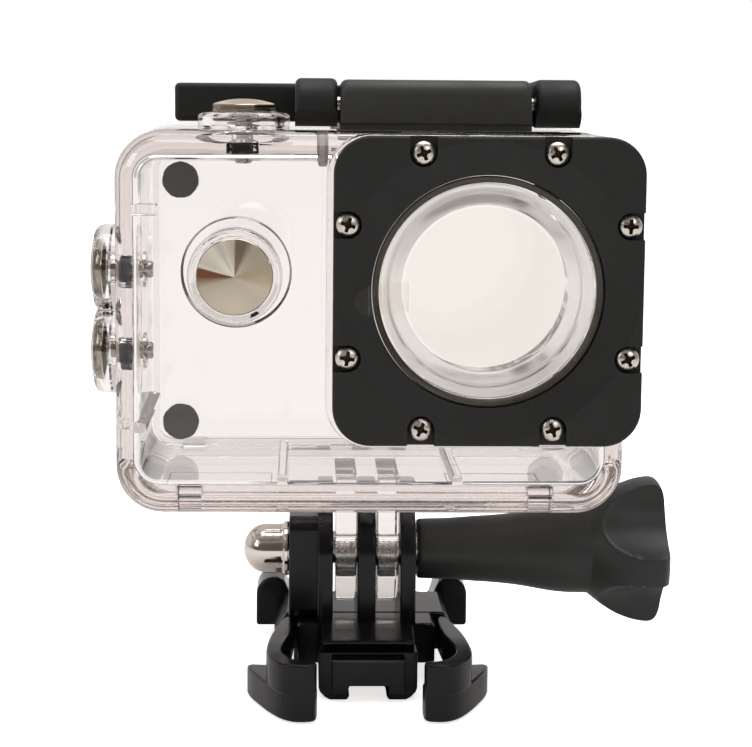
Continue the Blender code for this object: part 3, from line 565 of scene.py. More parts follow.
def button_pieces(b):
    """Cap on its stem, retaining clip, O-ring and spring."""
    clip_top = -b.boss - 0.3
    clip_low = clip_top - 0.5
    stem_end = clip_low - 0.9
    groove = STEM_R - 0.45
    edge = b.cap_top - b.dome
    skirt = b.floor + 1.3
    cup_r, cup_top = b.cap_r - 0.9, b.cap_top - 1.1
    face = [(b.cap_r * t, b.cap_top - b.dome * t ** 2) for t in (0.0, 0.15, 0.3, 0.45, 0.6, 0.75, 0.88)]
    cap = b.lathe(face + [
        (b.cap_r - 0.12, edge + 0.04), (b.cap_r, edge - 0.08), (b.cap_r, edge - 0.38),
        (b.cap_r - 0.14, edge - 0.46), (b.cap_r - 0.14, edge - 0.58), (b.cap_r, edge - 0.66),
        (b.cap_r, edge - 0.9), (b.cap_r - 0.2, edge - 1.05), (b.cap_r - 0.25, skirt + 0.15),
        (b.cap_r - 0.35, skirt), (cup_r, skirt), (cup_r, cup_top), (STEM_R, cup_top),
        (STEM_R, clip_top + 0.1), (groove, clip_top + 0.05), (groove, clip_low - 0.1),
        (STEM_R, clip_low - 0.15), (STEM_R, stem_end + 0.2), (STEM_R - 0.2, stem_end), (0.0, stem_end)])
    # the sheen and its painted reflection wedges fan out from the cap's own Z axis
    cap.data.transform(b.place.inverted())
    cap.matrix_world = b.place
    show(cap, b.name, b.name, b.name, SPUN, 28)
    # the side faces take the polished metal whose darker tone is painted shade
    second_finish(cap, CAP_SIDE_WITH_PAINTED_SHADE, lambda face: face.normal.z < 0.75)

    clip = e_clip(b, clip_low, clip_top, groove)
    show(clip, f"{b.name}_clip", b.name, f"{b.name}_clip", STEEL, 25)

    turns = [2 * pi * i / 24 for i in range(24)]
    section = [(1.97 + 0.47 * cos(a) * (1 - 0.3 * cos(a) ** 6), -b.boss + 1.15 + 0.8 * sin(a))
               for a in turns]
    seal = b.lathe(section, closed=True)
    show(seal, f"{b.name}_seal", "housing", f"{b.name}_seal", RUBBER, 32)
    spring = coil(b, b.floor + 0.2, cup_top - 1.2)
    show(spring, f"{b.name}_spring", "housing", f"{b.name}_spring", STEEL, 60)


def e_clip(b, start, end, groove):
    """A stamped E-clip: open ring with three inward teeth."""
    outer, inner, opening = 2.55, 1.75, 38
    outline = arc((0, 0), outer, -90 + opening, 270 - opening, 40)
    for a in range(270 - opening, -90 + opening - 1, -4):
        near = min(abs((a - tooth + 180) % 360 - 180) for tooth in (90, 200, 340))
        reach = groove + 0.12 if near < 14 else inner
        outline.append((reach * cos(radians(a)), reach * sin(radians(a))))
    clip = prism(outline, "Z", start, end, 0.06, 1)
    clip.data.transform(b.place)
    return clip


# -------- housing shell

SCREWS = [((lo[0] + hi[0]) / 2, (lo[2] + hi[2]) / 2)
          for lo, hi in (extent(f"lens_screw_{i}") for i in range(1, 9))]


def rib(x, z, inward, along_x):
    """A tapered moulded rib from the front wall to near the rim, standing on an inner wall."""
    base = [(-0.85, -0.6), (0.85, -0.6), (0.6, 1.3), (0.4, 1.5), (-0.4, 1.5), (-0.6, 1.3)]
    outline = [(x + u, z + v * inward) if along_x else (x + v * inward, z + u) for u, v in base]
    return prism(outline, "Y", BAY_FRONT - 0.6, RIM_Y - 2.5)


def front_shell():
    """The deep clear half with its boss, collars, guides, ribs, ears and mounting fingers."""
    shell = soften(prism(rounded_rect(-BODY_HALF, BODY_HALF, BODY_LOW, BODY_TOP, BODY_CORNER, 13),
                         "Y", FRONT_Y, RIM_Y + 8.0), 3.4, 7)
    boss = rounded_rect(LENS_X - FRAME_HALF - 0.85, BODY_HALF + 0.2, LENS_Z - FRAME_HALF - 0.75,
                        BODY_TOP - 0.2, 5.8, 11)
    join(shell, prism(boss, "Y", BOSS_FRONT, BAY_FRONT + 0.5, 0.5),
         *[block(span, (-13.0, -3.0), (BODY_LOW - 0.5, BODY_LOW + 0.8), 0.2)
           for span in ((-28.0, -13.5), (11.0, 24.0))],
         *[collar(b) for b in BUTTONS])
    bay = prism(rounded_rect(-BAY_HALF, BAY_HALF, BAY_LOW, BAY_TOP, BAY_CORNER), "Y", BAY_FRONT, RIM_Y + 9)
    cut(shell, block((-45, 45), (RIM_Y, RIM_Y + 14), (15, 95)), soften(bay, 0.8, 4))
    ribs = [rib(x, BAY_LOW, 1, True) for x in (-12.0, 12.0)]
    ribs += [rib(x, BAY_TOP, -1, True) for x in (-6.7, 12.0)]
    ribs += [rib(-BAY_HALF, 38.2, 1, False),
             block((-BAY_HALF - 0.6, -BAY_HALF + 3.0), (BAY_FRONT - 0.4, BAY_FRONT + 3.2), (67.0, 68.6),
                   0.3)]
    ribs += [rib(BAY_HALF, z, -1, False) for z in (38.2, 68.0)]
    guide_r, depth = 7.5, BUTTONS[0].boss
    guide = BUTTONS[0].lathe([(0.0, -WALL + 0.8), (guide_r, -WALL + 0.8), (guide_r, -depth + 0.3),
                              (guide_r - 0.3, -depth), (0.0, -depth)])
    join(shell, *ribs, guide)
    finger = (arc((0.0, BOLT_Z), FINGER_R, 180, 360, 40)
              + [(FINGER_R, BODY_LOW + 0.9), (-FINGER_R, BODY_LOW + 0.9)])
    ear = (arc((HINGE_Y, HINGE_Z), HINGE_ROLL_R, -90, 90, 18)
           + [(12.6, HINGE_Z + 1.0), (12.6, BODY_LOW + 0.05)])
    join(shell, *[prism(finger, "X", x - 1.5, x + 1.5, 0.35) for x in (-3.0, 3.0)],
         *[prism(ear, "X", x - 1.75, x + 1.75, 0.2) for x in (-25.75, 25.75)])
    lens_bore = lathe("Y", LENS, [
        (0.0, -45.0), (RING_R + 0.9, -45.0), (RING_R + 0.9, BOSS_FRONT - 0.1),
        (RING_R + 0.3, BOSS_FRONT + 0.4), (RING_R + 0.3, GLASS_BACK + 0.3), (11.5, GLASS_BACK + 0.3),
        (11.5, -10.0), (0.0, -10.0)], sides=96)
    cut(shell, *[well(b) for b in BUTTONS], lens_bore,
        *[rod("Y", (x, 0, z), 1.2, -30.0, -19.8, 20) for x, z in SCREWS],
        block((4.1, 8.9), (-10.3, -5.7), (76.4, 84.0), 0.3),
        rod("X", (0, 0, BOLT_Z), BOLT_BORE_R, -6.0, 6.0),
        rod("X", (0, HINGE_Y, HINGE_Z), HINGE_BORE_R, -32.0, 32.0, 24))
    show(shell, "housing_shell", "housing", "front_shell", CLEAR, 26)

    def on_left_top_rib(face):
        x, y, z = face.center / MM
        return -7.6 < x < -5.8 and y < 11.5 and BAY_TOP - 1.6 < z < BAY_TOP - 0.02

    second_finish(shell, FROSTED, on_left_top_rib)


# -------- lens window

def lens_frame():
    """Matte frame: softened edges, shallow dish and a U-shaped pocket at each screw."""
    x0, x1 = LENS_X - FRAME_HALF, LENS_X + FRAME_HALF
    z0, z1 = LENS_Z - FRAME_HALF, LENS_Z + FRAME_HALF
    face, back = FRAME_LO[1], FRAME_HI[1]
    body = prism(rounded_rect(x0, x1, z0, z1, 5.0, 17), "Y", face, back, 0.45, 4)
    cut(body, lathe("Y", LENS, [
        (0.0, face - 4.0), (DISHED_R + 0.25, face - 4.0), (DISHED_R + 0.25, face - 0.05),
        (DISHED_R, face + 0.12), (DISHED_R - 1.6, face + 0.42), (HOLE_R + 0.5, face + 0.95),
        (HOLE_R + 0.1, face + 1.15), (HOLE_R, face + 1.5), (HOLE_R, back + 3.0), (0.0, back + 3.0)],
        sides=128))
    for x, z in SCREWS:
        cut(body, notch(x, z), rod("Y", (x, 0, z), 1.2, -30.0, -20.0, 24))
    show(body, "lens_frame_plate", "housing", "lens_frame", MATTE)


def notch(x, z):
    """A U-shaped cutter from a screw out past the nearest edge of the frame."""
    half = 1.78
    turn = round((atan2(z - LENS_Z, x - LENS_X) - pi / 2) / (pi / 2)) * pi / 2
    outline = [(half, 4.0), (-half, 4.0)] + arc((0.0, 0.0), half, 180, 360, 20)
    points = [(x + u * cos(turn) - v * sin(turn), z + u * sin(turn) + v * cos(turn))
              for u, v in outline]
    return prism(points, "Y", -32.0, BOSS_FRONT - 1.3, 0.22, 2)


def lens_screw(number, x, z):
    """Pan-head screw with a cross recess and a threaded shank, turned by its own amount."""
    head = low(f"lens_screw_{number}")[1] + 1.1
    head_r, crown, thread = 1.56, 0.72, 0.25
    profile = [(0.0, -20.2), (0.5, -20.2), (0.78, -20.7)]
    profile += [(0.75 if i % 2 else 0.95, -20.9 - thread * i) for i in range(int((-20.9 - head) / thread))]
    profile += [(0.75, head), (1.5, head), (head_r, head - 0.12), (head_r, head - 0.35)]
    profile += [(head_r * cos(radians(a)), head - 0.35 - crown * sin(radians(a)))
                for a in (12, 25, 40, 55, 70, 80)]
    screw = lathe("Y", (x, 0, z), profile + [(0.0, head - 1.08)], sides=40)
    arms = []
    for quarter in (0, 90):
        arm = block((-0.98, 0.98), (head - 1.6, head - 0.4), (-0.24, 0.24), 0.06, 2)
        arm.data.transform(Matrix.Rotation(radians(quarter + 17 * number * number), 4, "Y"))
        arm.data.transform(Matrix.Translation(Vector((x, 0, z)) * MM))
        arms.append(arm)
    cut(screw, *arms, lathe("Y", (x, 0, z), [(0.0, head - 1.6), (0.58, head - 1.6), (0.46, head - 0.8),
                                             (0.0, head - 0.35)], sides=20))
    show(screw, f"screw{number}", "housing", f"lens_screw_{number}", NICKEL, 35)

    def in_recess(face):
        across, depth, up = face.center / MM - Vector((x, head, z))
        reach = hypot(across, up)
        return reach < 1.1 and -0.33 - crown * sqrt(1 - (reach / head_r) ** 2) < depth < -0.1

    second_finish(screw, RECESS, in_recess)


def lens_stack():
    """Glass, the frosted conical ring and the dark gasket."""
    glass = lathe("Y", LENS, [
        (0.0, GLASS_FRONT), (RING_R - 0.15, GLASS_FRONT), (RING_R, GLASS_FRONT + 0.15),
        (RING_R, GLASS_BACK - 0.15), (RING_R - 0.15, GLASS_BACK), (0.0, GLASS_BACK)], sides=96)
    show(glass, "window", "housing", "lens_glass", GLASS, 32)

    back, front = high("lens_ring")[1], low("lens_ring")[1]
    start = (RING_R - 0.45, front + 0.12)
    run, rise = WINDOW_R + 0.35 - start[0], back - 0.75 - start[1]
    cone = [(RING_R, back), (RING_R, front + 0.15), (RING_R - 0.1, front), (RING_R - 0.3, front), start]
    cone += [(start[0] + run * t, start[1] + rise * t + 0.12 * sin(pi * t))
             for t in (0.25, 0.5, 0.75, 1.0)]
    cone += [(WINDOW_R + 0.05, back - 0.6), (WINDOW_R, back - 0.45), (WINDOW_R, back)]
    ring = lathe("Y", LENS, cone, closed=True, sides=128)
    show(ring, "cone_ring", "housing", "lens_ring", CLEAR_RING, 40)

    back, front = high("lens_gasket")[1], low("lens_gasket")[1]
    inner, outer = RING_R + 0.25, HOLE_R - 0.1
    gasket = lathe("Y", LENS, [
        (outer, back), (outer, front + 0.1), (outer - 0.15, front - 0.05), (inner + 0.2, front + 0.15),
        (inner, front + 0.4), (inner, back)], closed=True, sides=128)
    show(gasket, "gasket_ring", "housing", "lens_gasket", GASKET, 32)


def film():
    """Thin protective film on the glass, whose round-ended tab rises over the ring's left side."""
    thick, half, radius = 0.06, 1.95, WINDOW_R - 0.35
    front = low("lens_film")[1]
    disc = lathe("Y", LENS, [
        (0.0, front + 0.05), (radius, front + 0.05), (radius, front + 0.05 + thick),
        (0.0, front + 0.05 + thick)], sides=96)
    round_end = radius + 6.6 - half
    stations = [(radius - 0.6, front + 0.03), (radius + 0.1, front - 0.35),
                (RING_R + 0.4, low("lens_ring")[1] - 0.5), (RING_R + 1.6, FRAME_LO[1] + 0.35),
                (round_end, FRAME_LO[1] + 0.08)]
    stations += [(round_end + half * sin(radians(a)), FRAME_LO[1] + 0.06)
                 for a in (20, 40, 60, 75, 86)]
    work = bmesh.new()
    rows = []
    for reach, depth in stations:
        over = max(0.0, reach - round_end) / half
        width = half * sqrt(max(0.0, 1 - over * over))
        rows.append([work.verts.new(Vector((LENS_X - reach, depth, LENS_Z - 1.2 + width * s)) * MM)
                     for s in (-1.0, -0.5, 0.0, 0.5, 1.0)])
    for a, b in zip(rows, rows[1:]):
        for i in range(4):
            work.faces.new((a[i], a[i + 1], b[i + 1], b[i]))
    tab = linked(work)
    tab.modifiers.new("thickness", "SOLIDIFY").thickness = thick * MM
    apply(tab)
    work = bmesh.new()
    for piece in (disc, tab):
        work.from_mesh(piece.data)
        bpy.data.objects.remove(piece, do_unlink=True)
    show(linked(work, weld=False), "film", "housing", "lens_film", FILM)


# -------- door

def back_door():
    """Clear back: plate, raised plug, hinge roll and the latch's catch slope."""
    (_, plug_front, _), (_, outer, _) = extent("back_door")
    front, back = RIM_Y + 0.3, outer - 1.2
    plate = prism(rounded_rect(-BODY_HALF, BODY_HALF, BODY_LOW, DOOR_TOP, BODY_CORNER, 13),
                  "Y", front, back, 0.6, 4)
    cut(plate, block((-45, 45), (0, 30), (15, HINGE_Z)))
    join(plate, rod("X", (0, HINGE_Y, HINGE_Z), HINGE_ROLL_R, -32.0, 32.0, 48, 0.3),
         prism(rounded_rect(-30.5, 30.5, 31.8, 73.8, 2.4), "Y", plug_front, front + 0.6, 0.35))
    catch = [(back + 0.5, 76.7), (back + 0.5, 79.6), (14.8, 79.6)]
    cut(plate, *[block((x, x + 4.1), (8.0, 24.0), (15.0, HINGE_Z + 2.7), 0.3) for x in (-27.8, 23.7)],
        rod("X", (0, HINGE_Y, HINGE_Z), HINGE_BORE_R, -40.0, 40.0, 24),
        prism(catch, "X", low("latch_hook")[0] - 1.0, high("latch_hook")[0] + 1.0))
    show(plate, "door_plate", "door", "back_door", CLEAR_DOOR, 26)


def door_seal():
    """Soft ring round the plug."""
    (x0, y0, z0), (x1, y1, z1) = extent("door_seal")
    wide = 0.85
    ring = prism(rounded_rect(x0, x1, z0, z1, 2.9), "Y", y0, y1, 0.3)
    cut(ring, prism(rounded_rect(x0 + wide, x1 - wide, z0 + wide, z1 - wide, 2.1), "Y", y0 - 2, y1 + 2))
    show(ring, "seal_ring", "door", "door_seal", SILICONE, 32)


def foam_dot(number):
    """A soft round pad, slightly crowned, with a torn-looking rim."""
    (x0, front, z0), (x1, back, z1) = extent(f"foam_dot_{number}")
    back += 0.28
    x, z, radius = (x0 + x1) / 2, (z0 + z1) / 2, (x1 - x0) / 2
    dot = lathe("Y", (x, 0, z), [
        (0.0, front), (radius * 0.6, front + 0.02), (radius - 0.35, front + 0.1),
        (radius - 0.1, front + 0.25), (radius, front + 0.5), (radius - 0.05, back), (0.0, back)], sides=56)
    for vertex in dot.data.vertices:
        away = Vector((vertex.co.x - x * MM, vertex.co.z - z * MM))
        if away.length > 0.8 * radius * MM:
            turn = atan2(away.y, away.x)
            ragged = 1 + 0.012 * sin(7 * turn + number) + 0.008 * sin(17 * turn + 2 * number)
            vertex.co.x = x * MM + away.x * ragged
            vertex.co.z = z * MM + away.y * ragged
    show(dot, f"dot{number}", "door", f"foam_dot_{number}", FOAM, 32)


# -------- latch

def pin_bore(y, node):
    """The hole for a pin of the latch, 0.3 mm longer at each end."""
    return rod("X", (0, y, PIN_Z), PIN_BORE_R, low(node)[0] - 0.3, high(node)[0] + 0.3, 32)


def latch_base():
    """Barrel with rounded ends above the pin, a crisp foot on the shell, and its lug."""
    (x0, y0, z0), (x1, y1, z1) = extent("latch_base")
    foot, bend = BODY_TOP + 0.04, 2.0
    section = ([(y0 + 0.35, foot), (y0 + 0.35, foot + 0.75), (y0, foot + 1.0), (y0, z1 - bend)]
               + arc((y0 + bend, z1 - bend), bend, 90, 180, 9)[-2::-1]
               + [(y1 - bend, z1)] + arc((y1 - bend, z1 - bend), bend, 0, 90, 9)[-2::-1] + [(y1, foot)])
    base = soften_above(prism(section, "X", x0, x1), 1.0, PIN_Z - 1.0)
    join(base, block((4.4, 8.6), (-10.0, -6.0), (z0, 80.0), 0.2))
    cut(base, rod("X", (0, PIN_Y, PIN_Z), PIN_BORE_R, x0 - 3.0, x1 + 3.0, 32))
    show(base, "latch_barrel", "housing", "latch_base", BARREL)


def latch_lever():
    """Lever: two knuckle arms with rounded tops, a cross bar and the long straight finger arm."""
    lo, hi = extent("latch_lever")
    floor, top = PIN_Z - 2.95, PIN_Z + 2.65
    left, right = low("latch_base")[0] - 0.4, high("latch_base")[0] + 0.7
    side = (arc((PIN_Y, PIN_Z), KNUCKLE_R, 90, 250, 28) + [(-5.0, floor)]
            + arc((12.8, floor + 1.5), 1.5, -90, 0, 8) + arc((12.3, top - 2.0), 2.0, 0, 90, 9))
    arms = [soften_above(prism(side, "X", x0, x1), 0.85, PIN_Z - 1.0)
            for x0, x1 in ((left - 5.8, left), (right, hi[0]))]
    join(*arms, block((lo[0], -8.0), (8.5, 14.3), (floor, top), 0.75, 5),
         block((left - 1.0, right + 1.0), (3.0, 7.2), (floor + 0.2, top - 0.2), 0.5))
    cut(arms[0], pin_bore(PIN_Y, "latch_pin"), pin_bore(HOOK_Y, "hook_pin"))
    show(arms[0], "lever", "latch_lever", "latch_lever", MATTE)


def latch_hook():
    """Hook: roll, roof over the door's edge, ribbed back and sloped nib."""
    (x0, _, z0), (x1, back, z1) = extent("latch_hook")
    radius = z1 - PIN_Z
    section = (arc((HOOK_Y, PIN_Z), radius, 90, 270, 24)
               + [(15.15, PIN_Z - radius), (17.7, z0), (back - 0.3, z0), (back, z0 + 0.3), (back, 82.4)]
               + arc((back - 1.6, z1 - 1.6), 1.6, 5, 85, 8))
    hook = prism(section, "X", x0, x1, 0.35)
    cut(hook, rod("X", (0, HOOK_Y, PIN_Z), PIN_BORE_R, x0 - 3.0, x1 + 3.0, 32),
        *[block((2.0, 16.2), (back - 0.25, back + 2.0), (z, z + 0.55), 0.1, 1)
          for z in (78.6, 79.8, 81.0, 82.2)])
    show(hook, "hook", "latch_hook", "latch_hook", MATTE)


def pin(node, body, extra):
    """A steel pin with chamfered ends; extra is added to its radius."""
    (x0, y0, z0), (x1, y1, z1) = extent(node)
    steel = rod("X", (0, (y0 + y1) / 2, (z0 + z1) / 2), (z1 - z0) / 2 + extra, x0, x1, 40, 0.15)
    show(steel, f"{node}_steel", body, node, STEEL)


# -------- thumb screw and nut

LOBE_TURN = radians(-6)
SHAFT = ((7.5, 4.1), (7.8, 4.3), (12.0, 4.44), (16.3, 4.75), (18.3, 4.87), (21.6, 5.2), (24.6, 5.68),
         (26.7, 6.05), (29.0, 6.3), (32.3, 6.38))  # distance along X, radius
HEAD = ((32.3, 6.38), (34.4, 8.0), (36.4, 9.25), (38.2, 10.05), (39.9, 10.5), (41.2, 10.65), (42.0, 10.5),
        (42.5, 10.1), (42.85, 9.5), (43.05, 8.6), (43.15, 7.0))
DISH_R = 7.4
VALLEY_R = 6.1
CRISPNESS = 34.0  # how sharply a dish meets a lobe


def along_curve(points, x):
    """Height of a smooth curve through rising points, by cubic Hermite pieces."""
    ends = [(points[max(i - 1, 0)], points[min(i + 1, len(points) - 1)]) for i in range(len(points))]
    slopes = [(after[1] - before[1]) / (after[0] - before[0]) for before, after in ends]
    for (x0, y0), (x1, y1), m0, m1 in zip(points, points[1:], slopes, slopes[1:]):
        if x <= x1 or x1 == points[-1][0]:
            span = x1 - x0
            t = (x - x0) / span
            return (y0 * (2 * t ** 3 - 3 * t ** 2 + 1) + span * m0 * (t ** 3 - 2 * t ** 2 + t)
                    + y1 * (3 * t ** 2 - 2 * t ** 3) + span * m1 * (t ** 3 - t ** 2))


def knob_radius(x, angle):
    """Radius of the handle at x in the direction angle; 0 faces the viewer, 90 degrees is up."""
    if x <= SHAFT[-1][0]:
        return along_curve(SHAFT, x)
    tip = along_curve(HEAD, x)
    away = VALLEY_R + 1.3 * (max(0.0, 41.5 - x) / 7.7) ** 2 + DISH_R
    turn = (angle - LOBE_TURN) % (pi / 2) - pi / 4
    inside = DISH_R ** 2 - (away * sin(turn)) ** 2
    if inside <= 0:
        return tip
    dish = away * cos(turn) - sqrt(inside)
    return (tip ** -CRISPNESS + dish ** -CRISPNESS) ** (-1 / CRISPNESS)


def thumb_knob():
    """Handle flaring from a waist to a crisp corner, then four lobes with round dishes between."""
    stations = [7.5, 7.55, 7.65, 7.8] + [8.2 + i * 0.8 for i in range(30)] + [32.2, 32.3]
    stations += [32.4 + i * 0.3 for i in range(30)] + [41.4, 41.7, 42.0, 42.25, 42.5, 42.7, 42.85, 42.95,
                                                      43.05, 43.1, 43.15]
    knob = swept(stations, 192, knob_radius, -1)
    cut(knob, rod("X", (0, 0, BOLT_Z), BOLT_BORE_R, 6.0, 22.3))
    show(knob, "knob", "thumb_screw", "thumb_knob", SATIN, 35)


def clamp_bolt():
    """The M5 screw with its helical thread."""
    lo, hi = extent("clamp_bolt")
    pitch, depth, radius, step = 0.8, 0.42, (hi[2] - lo[2]) / 2, 0.1
    count = int((hi[0] - lo[0]) / step)

    def threaded_radius(x, turn):
        phase = (x / pitch + turn / (2 * pi)) % 1.0
        groove = depth * abs(2 * phase - 1) if x < 7.0 else 0.12
        return (radius - groove) * min(1.0, 0.55 + (x - lo[0]) / 1.2)

    stations = [lo[0] + (hi[0] - lo[0]) * k / count for k in range(count + 1)]
    bolt = swept(stations, 36, threaded_radius, 1)
    show(bolt, "bolt", "thumb_screw", "clamp_bolt", STEEL, 50)


def cap_nut():
    """Acorn nut: hexagon, waist and polished dome."""
    lo, hi = extent("cap_nut")
    centre = (0, 0, BOLT_Z)
    nut = rod("X", centre, (hi[1] - lo[1]) / 2, hi[0] - 2.9, hi[0], 6, 0.2)
    tip, radius = lo[0], 3.55
    dome = [(0.0, tip)]
    dome += [(radius * sin(radians(a)), tip + 3.2 * (1 - cos(radians(a))))
             for a in range(6, 91, 6)]
    dome += [(radius, tip + 5.4), (radius + 0.05, tip + 5.7), (radius + 0.35, tip + 5.95),
             (radius + 0.4, tip + 6.35), (radius + 0.25, tip + 6.6), (radius, tip + 7.2), (0.0, tip + 7.2)]
    join(nut, lathe("X", centre, dome, sides=72))
    cut(nut, rod("X", centre, BOLT_BORE_R, -13.5, -7.0, 36))
    show(nut, "nut", "buckle", "cap_nut", NUT)


# -------- buckle

def buckle_nose():
    """Block ahead of the platform: two feet, a slot between them, a cove and a horned ledge above."""
    front = low("buckle_base")[1]
    half = [(5.3, 0.0), (6.0, 0.4), (6.65, 1.1), (6.85, 1.7), (6.85, 6.8)]
    feet = half + mirrored_x(half) + [(-2.9, 0.0), (-2.2, 1.15), (2.2, 1.15), (2.9, 0.0)]
    face = [(-13.0, 1.3), (front + 0.1, 1.3), (front, 1.5), (front, 5.9), (front + 0.2, 6.15), (-16.4, 6.35),
            (-13.0, 6.5)]
    ledge = ([(-6.0, 6.0), (-14.9, 6.0)] + arc((front + 0.1, 6.2), 2.1, 0, 88, 9)
             + [(front, 8.45), (front + 0.05, 8.8), (front + 0.5, 8.88), (-6.0, 8.88)])
    return [prism(feet, "Y", -15.6, 2.0, 0.18, 2),
            prism(face, "X", -5.05, 5.05, 0.15, 2),
            prism(ledge, "X", -6.4, 6.4, 0.12, 2)]


def buckle_base():
    """One glossy moulding: sole, nose, stepped platform, tail, ears, fingers and nut boss."""
    base = prism(rounded_rect(-10.4, 10.4, 1.0, 21.0, 1.5), "Z", 0.002, 3.6, 0.3)
    step = [(9.8, 2.8), (9.8, 8.0), (9.3, 8.5)]
    flank = [(13.3, 3.0), (13.3, 4.2), (11.6, 8.3), (11.2, 8.6)]
    ear = ([(9.0, 1.9), (16.2, 1.9)] + arc((13.4, 6.7), 2.8, 0, 100, 14)
           + [(11.9, 8.9), (11.2, 7.4), (10.6, 5.4), (9.0, 5.4)])
    finger = arc((0.0, BOLT_Z), FINGER_R, 0, 180, 40) + [(-FINGER_R, 8.0), (8.1, 8.0)]
    join(base, *buckle_nose(),
         prism(step + mirrored_x(step), "Y", -7.4, -1.5, 0.25),
         prism(flank + mirrored_x(flank), "Y", -2.0, 9.4, 0.35),
         block((-9.5, 9.5), (9.0, 20.6), (2.6, 5.6), 0.4),
         block((-5.0, 5.0), (-3.0, 2.5), (0.004, 2.9)),
         prism(ear, "Y", 14.0, 20.8, 0.45),
         prism(mirrored_x(ear), "Y", 14.0, 20.8, 0.45),
         *[prism(finger, "X", x0, x1, 0.35) for x0, x1 in ((-1.3, 1.3), (4.8, 7.0), (-7.0, -4.8))],
         prism(rounded_rect(-5.7, 5.7, 8.5, 23.3, 2.0), "X", -11.1, -6.7, 0.3))
    cut(base, rod("X", (0, 0, BOLT_Z), BOLT_BORE_R, -12.0, 12.0),
        rod("X", (0, 0, BOLT_Z), 4.9, -13.0, -7.8, 6),
        block((-2.9, 2.9), (-18.5, -12.0), (0.5, 2.45), 0.1, 1))
    show(base, "buckle_body", "buckle", "buckle_base", GLOSS)


def smooth_outline(points, rounds):
    """Corner-cutting of a closed outline, which turns a coarse one into soft curves."""
    for _ in range(rounds):
        finer = []
        for (u0, v0), (u1, v1) in zip(points, points[1:] + points[:1]):
            finer.append((u0 * 0.75 + u1 * 0.25, v0 * 0.75 + v1 * 0.25))
            finer.append((u0 * 0.25 + u1 * 0.75, v0 * 0.25 + v1 * 0.75))
        points = finer
    return points


def side_clip(node):
    """A sprung arm: C-shaped upper finger and the ramped barb under it."""
    upper = [(11.5, -2.5), (12.2, -5.0), (13.5, -11.0), (14.07, -17.0), (14.0, -21.0), (13.05, -23.4),
             (11.6, -25.4), (9.6, -26.1), (7.3, -25.8), (7.1, -24.1), (9.0, -24.0), (10.5, -22.8),
             (11.7, -20.4), (11.9, -18.0), (11.2, -14.0), (10.6, -11.0), (10.2, -2.5)]
    lower = [(7.1, -24.5), (7.5, -25.7), (9.6, -26.0), (10.8, -25.6), (12.2, -24.4), (13.8, -21.7),
             (15.0, -19.0), (16.3, -15.9), (17.0, -12.9), (13.9, -13.4), (11.3, -13.2), (9.5, -17.5),
             (7.2, -20.8)]
    upper, lower = smooth_outline(upper, 2), smooth_outline(lower, 1)
    if node == "clip_left":
        upper, lower = mirrored_x(upper), mirrored_x(lower)
    clip = prism(upper, "Z", 3.9, 8.2, 0.35, 4)
    join(clip, prism(lower, "Z", 0.3, 4.4, 0.35))
    show(clip, f"{node}_arm", node, node, GLOSS)


# -------- stage

FLOOR_LIFT = 0.75  # white added to the floor where the camera looks at it
WALL_LIFT = 1.0  # brightness of the floor where the camera looks through a clear wall
WARM_WHITE = (1.0, 0.985, 0.975, 1.0)


def pale_floor():
    """White table: what the camera sees of it directly or through the clear walls is lifted to white."""
    made, shader, nodes, links = shader_tree("pale_floor")
    put(shader, Base_Color=(0.93, 0.925, 0.92, 1.0), Roughness=0.9, Specular_IOR_Level=0.1)
    ray = nodes.new("ShaderNodeLightPath")
    direct = nodes.new("ShaderNodeMath")
    direct.operation = "MULTIPLY"
    direct.inputs[1].default_value = FLOOR_LIFT
    links.new(ray.outputs["Is Camera Ray"], direct.inputs[0])
    lift = put(nodes.new("ShaderNodeEmission"), Color=WARM_WHITE)
    links.new(direct.outputs["Value"], lift.inputs["Strength"])
    both = nodes.new("ShaderNodeAddShader")
    links.new(shader.outputs["BSDF"], both.inputs[0])
    links.new(lift.outputs["Emission"], both.inputs[1])
    behind = put(nodes.new("ShaderNodeEmission"), Color=WARM_WHITE, Strength=WALL_LIFT)
    mix = nodes.new("ShaderNodeMixShader")
    links.new(ray.outputs["Is Transmission Ray"], mix.inputs["Fac"])
    links.new(both.outputs["Shader"], mix.inputs[1])
    links.new(behind.outputs["Emission"], mix.inputs[2])
    links.new(mix.outputs["Shader"], nodes["Material Output"].inputs["Surface"])
    return made


def room():
    """Pale floor, and a room that is white behind the object, warmer and darker behind the viewer."""
    work = bmesh.new()
    bmesh.ops.create_grid(work, x_segments=1, y_segments=1, size=20.0)
    floor = linked(work)
    floor.name = "floor"
    floor.data.materials.append(pale_floor())

    SCENE.world = bpy.data.worlds.new("room")
    SCENE.world.use_nodes = True
    nodes, links = SCENE.world.node_tree.nodes, SCENE.world.node_tree.links
    split = nodes.new("ShaderNodeSeparateXYZ")
    links.new(nodes.new("ShaderNodeTexCoord").outputs["Generated"], split.inputs["Vector"])
    depth = put(nodes.new("ShaderNodeMapRange"), From_Min=-1.0, From_Max=1.0)
    links.new(split.outputs["Y"], depth.inputs["Value"])
    tones = ramp(nodes, links, depth.outputs["Result"], [
        (0.0, (0.13, 0.115, 0.10)), (0.3, (0.20, 0.18, 0.165)), (0.45, (0.36, 0.34, 0.325)),
        (0.56, (0.64, 0.62, 0.605)), (0.7, (0.84, 0.82, 0.805)), (1.0, (0.78, 0.755, 0.74))])
    pick = nodes.new("ShaderNodeMix")
    pick.data_type = "RGBA"
    pick.inputs["B"].default_value = (1.0, 1.0, 1.0, 1.0)
    links.new(nodes.new("ShaderNodeLightPath").outputs["Is Camera Ray"], pick.inputs["Factor"])
    links.new(tones, pick.inputs["A"])
    background = put(nodes["Background"], Strength=1.0)
    links.new(pick.outputs["Result"], background.inputs["Color"])


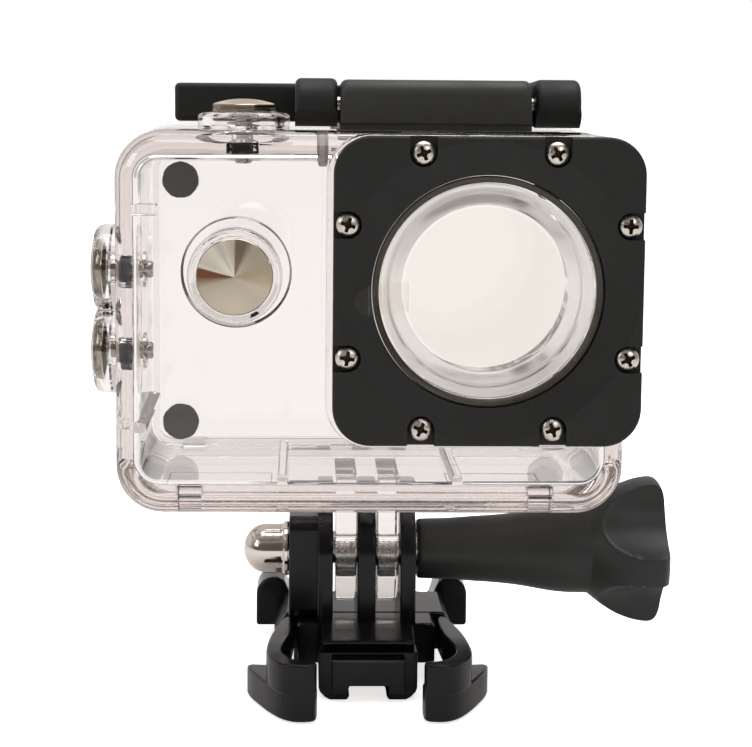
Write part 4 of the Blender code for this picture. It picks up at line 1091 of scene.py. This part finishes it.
def softbox(name, position, target, size, power):
    light = bpy.data.lights.new(name, "AREA")
    light.shape = "SQUARE"
    light.size = size
    light.energy = power
    obj = new_object(name, light)
    obj.location = position
    obj.rotation_euler = (Vector(target) - Vector(position)).to_track_quat("-Z", "Y").to_euler()


def camera():
    """A view from a little left, just above the body's top."""
    position = Vector((-9.315, -267.089, 84.69))
    yaw, pitch, roll = 0.026, 0.110, 0.008
    forward = Vector((sin(yaw) * cos(pitch), cos(yaw) * cos(pitch), -sin(pitch)))
    right = Vector((cos(yaw), -sin(yaw), 0.0))
    up = right.cross(forward)
    across = right * cos(roll) + up * sin(roll)
    upward = up * cos(roll) - right * sin(roll)
    data = bpy.data.cameras.new("camera")
    data.sensor_width = 36.0
    data.lens = 89.56
    data.shift_x = 0.0331
    data.shift_y = -0.1084
    data.clip_start = 0.01
    obj = new_object("camera", data)
    turn = Matrix((across, upward, -forward)).transposed().to_4x4()
    obj.matrix_world = Matrix.Translation(position * MM) @ turn
    SCENE.camera = obj


# -------- build

room()
softbox("top_softbox", (0.05, -0.05, 0.75), (0.0, 0.0, 0.05), 0.6, 4.0)
softbox("left_softbox", (-0.75, -0.45, 0.45), (0.0, 0.0, 0.06), 0.35, 1.7)
softbox("front_softbox", (0.45, -0.9, 0.55), (0.0, 0.0, 0.06), 0.35, 1.7)
camera()
SCENE.view_settings.view_transform = "Standard"
SCENE.cycles.max_bounces = 24
SCENE.cycles.transmission_bounces = 20
SCENE.cycles.transparent_max_bounces = 16
SCENE.cycles.glossy_bounces = 6

front_shell()
for button in BUTTONS:
    button_pieces(button)
lens_frame()
for index, (screw_x, screw_z) in enumerate(SCREWS, 1):
    lens_screw(index, screw_x, screw_z)
lens_stack()
film()
back_door()
door_seal()
for index in range(1, 5):
    foam_dot(index)
latch_base()
latch_lever()
latch_hook()
pin("latch_pin", "housing", 0.0)
pin("door_hinge_pin", "housing", 0.02)
pin("hook_pin", "latch_lever", 0.0)
thumb_knob()
clamp_bolt()
cap_nut()
buckle_base()
side_clip("clip_left")
side_clip("clip_right")
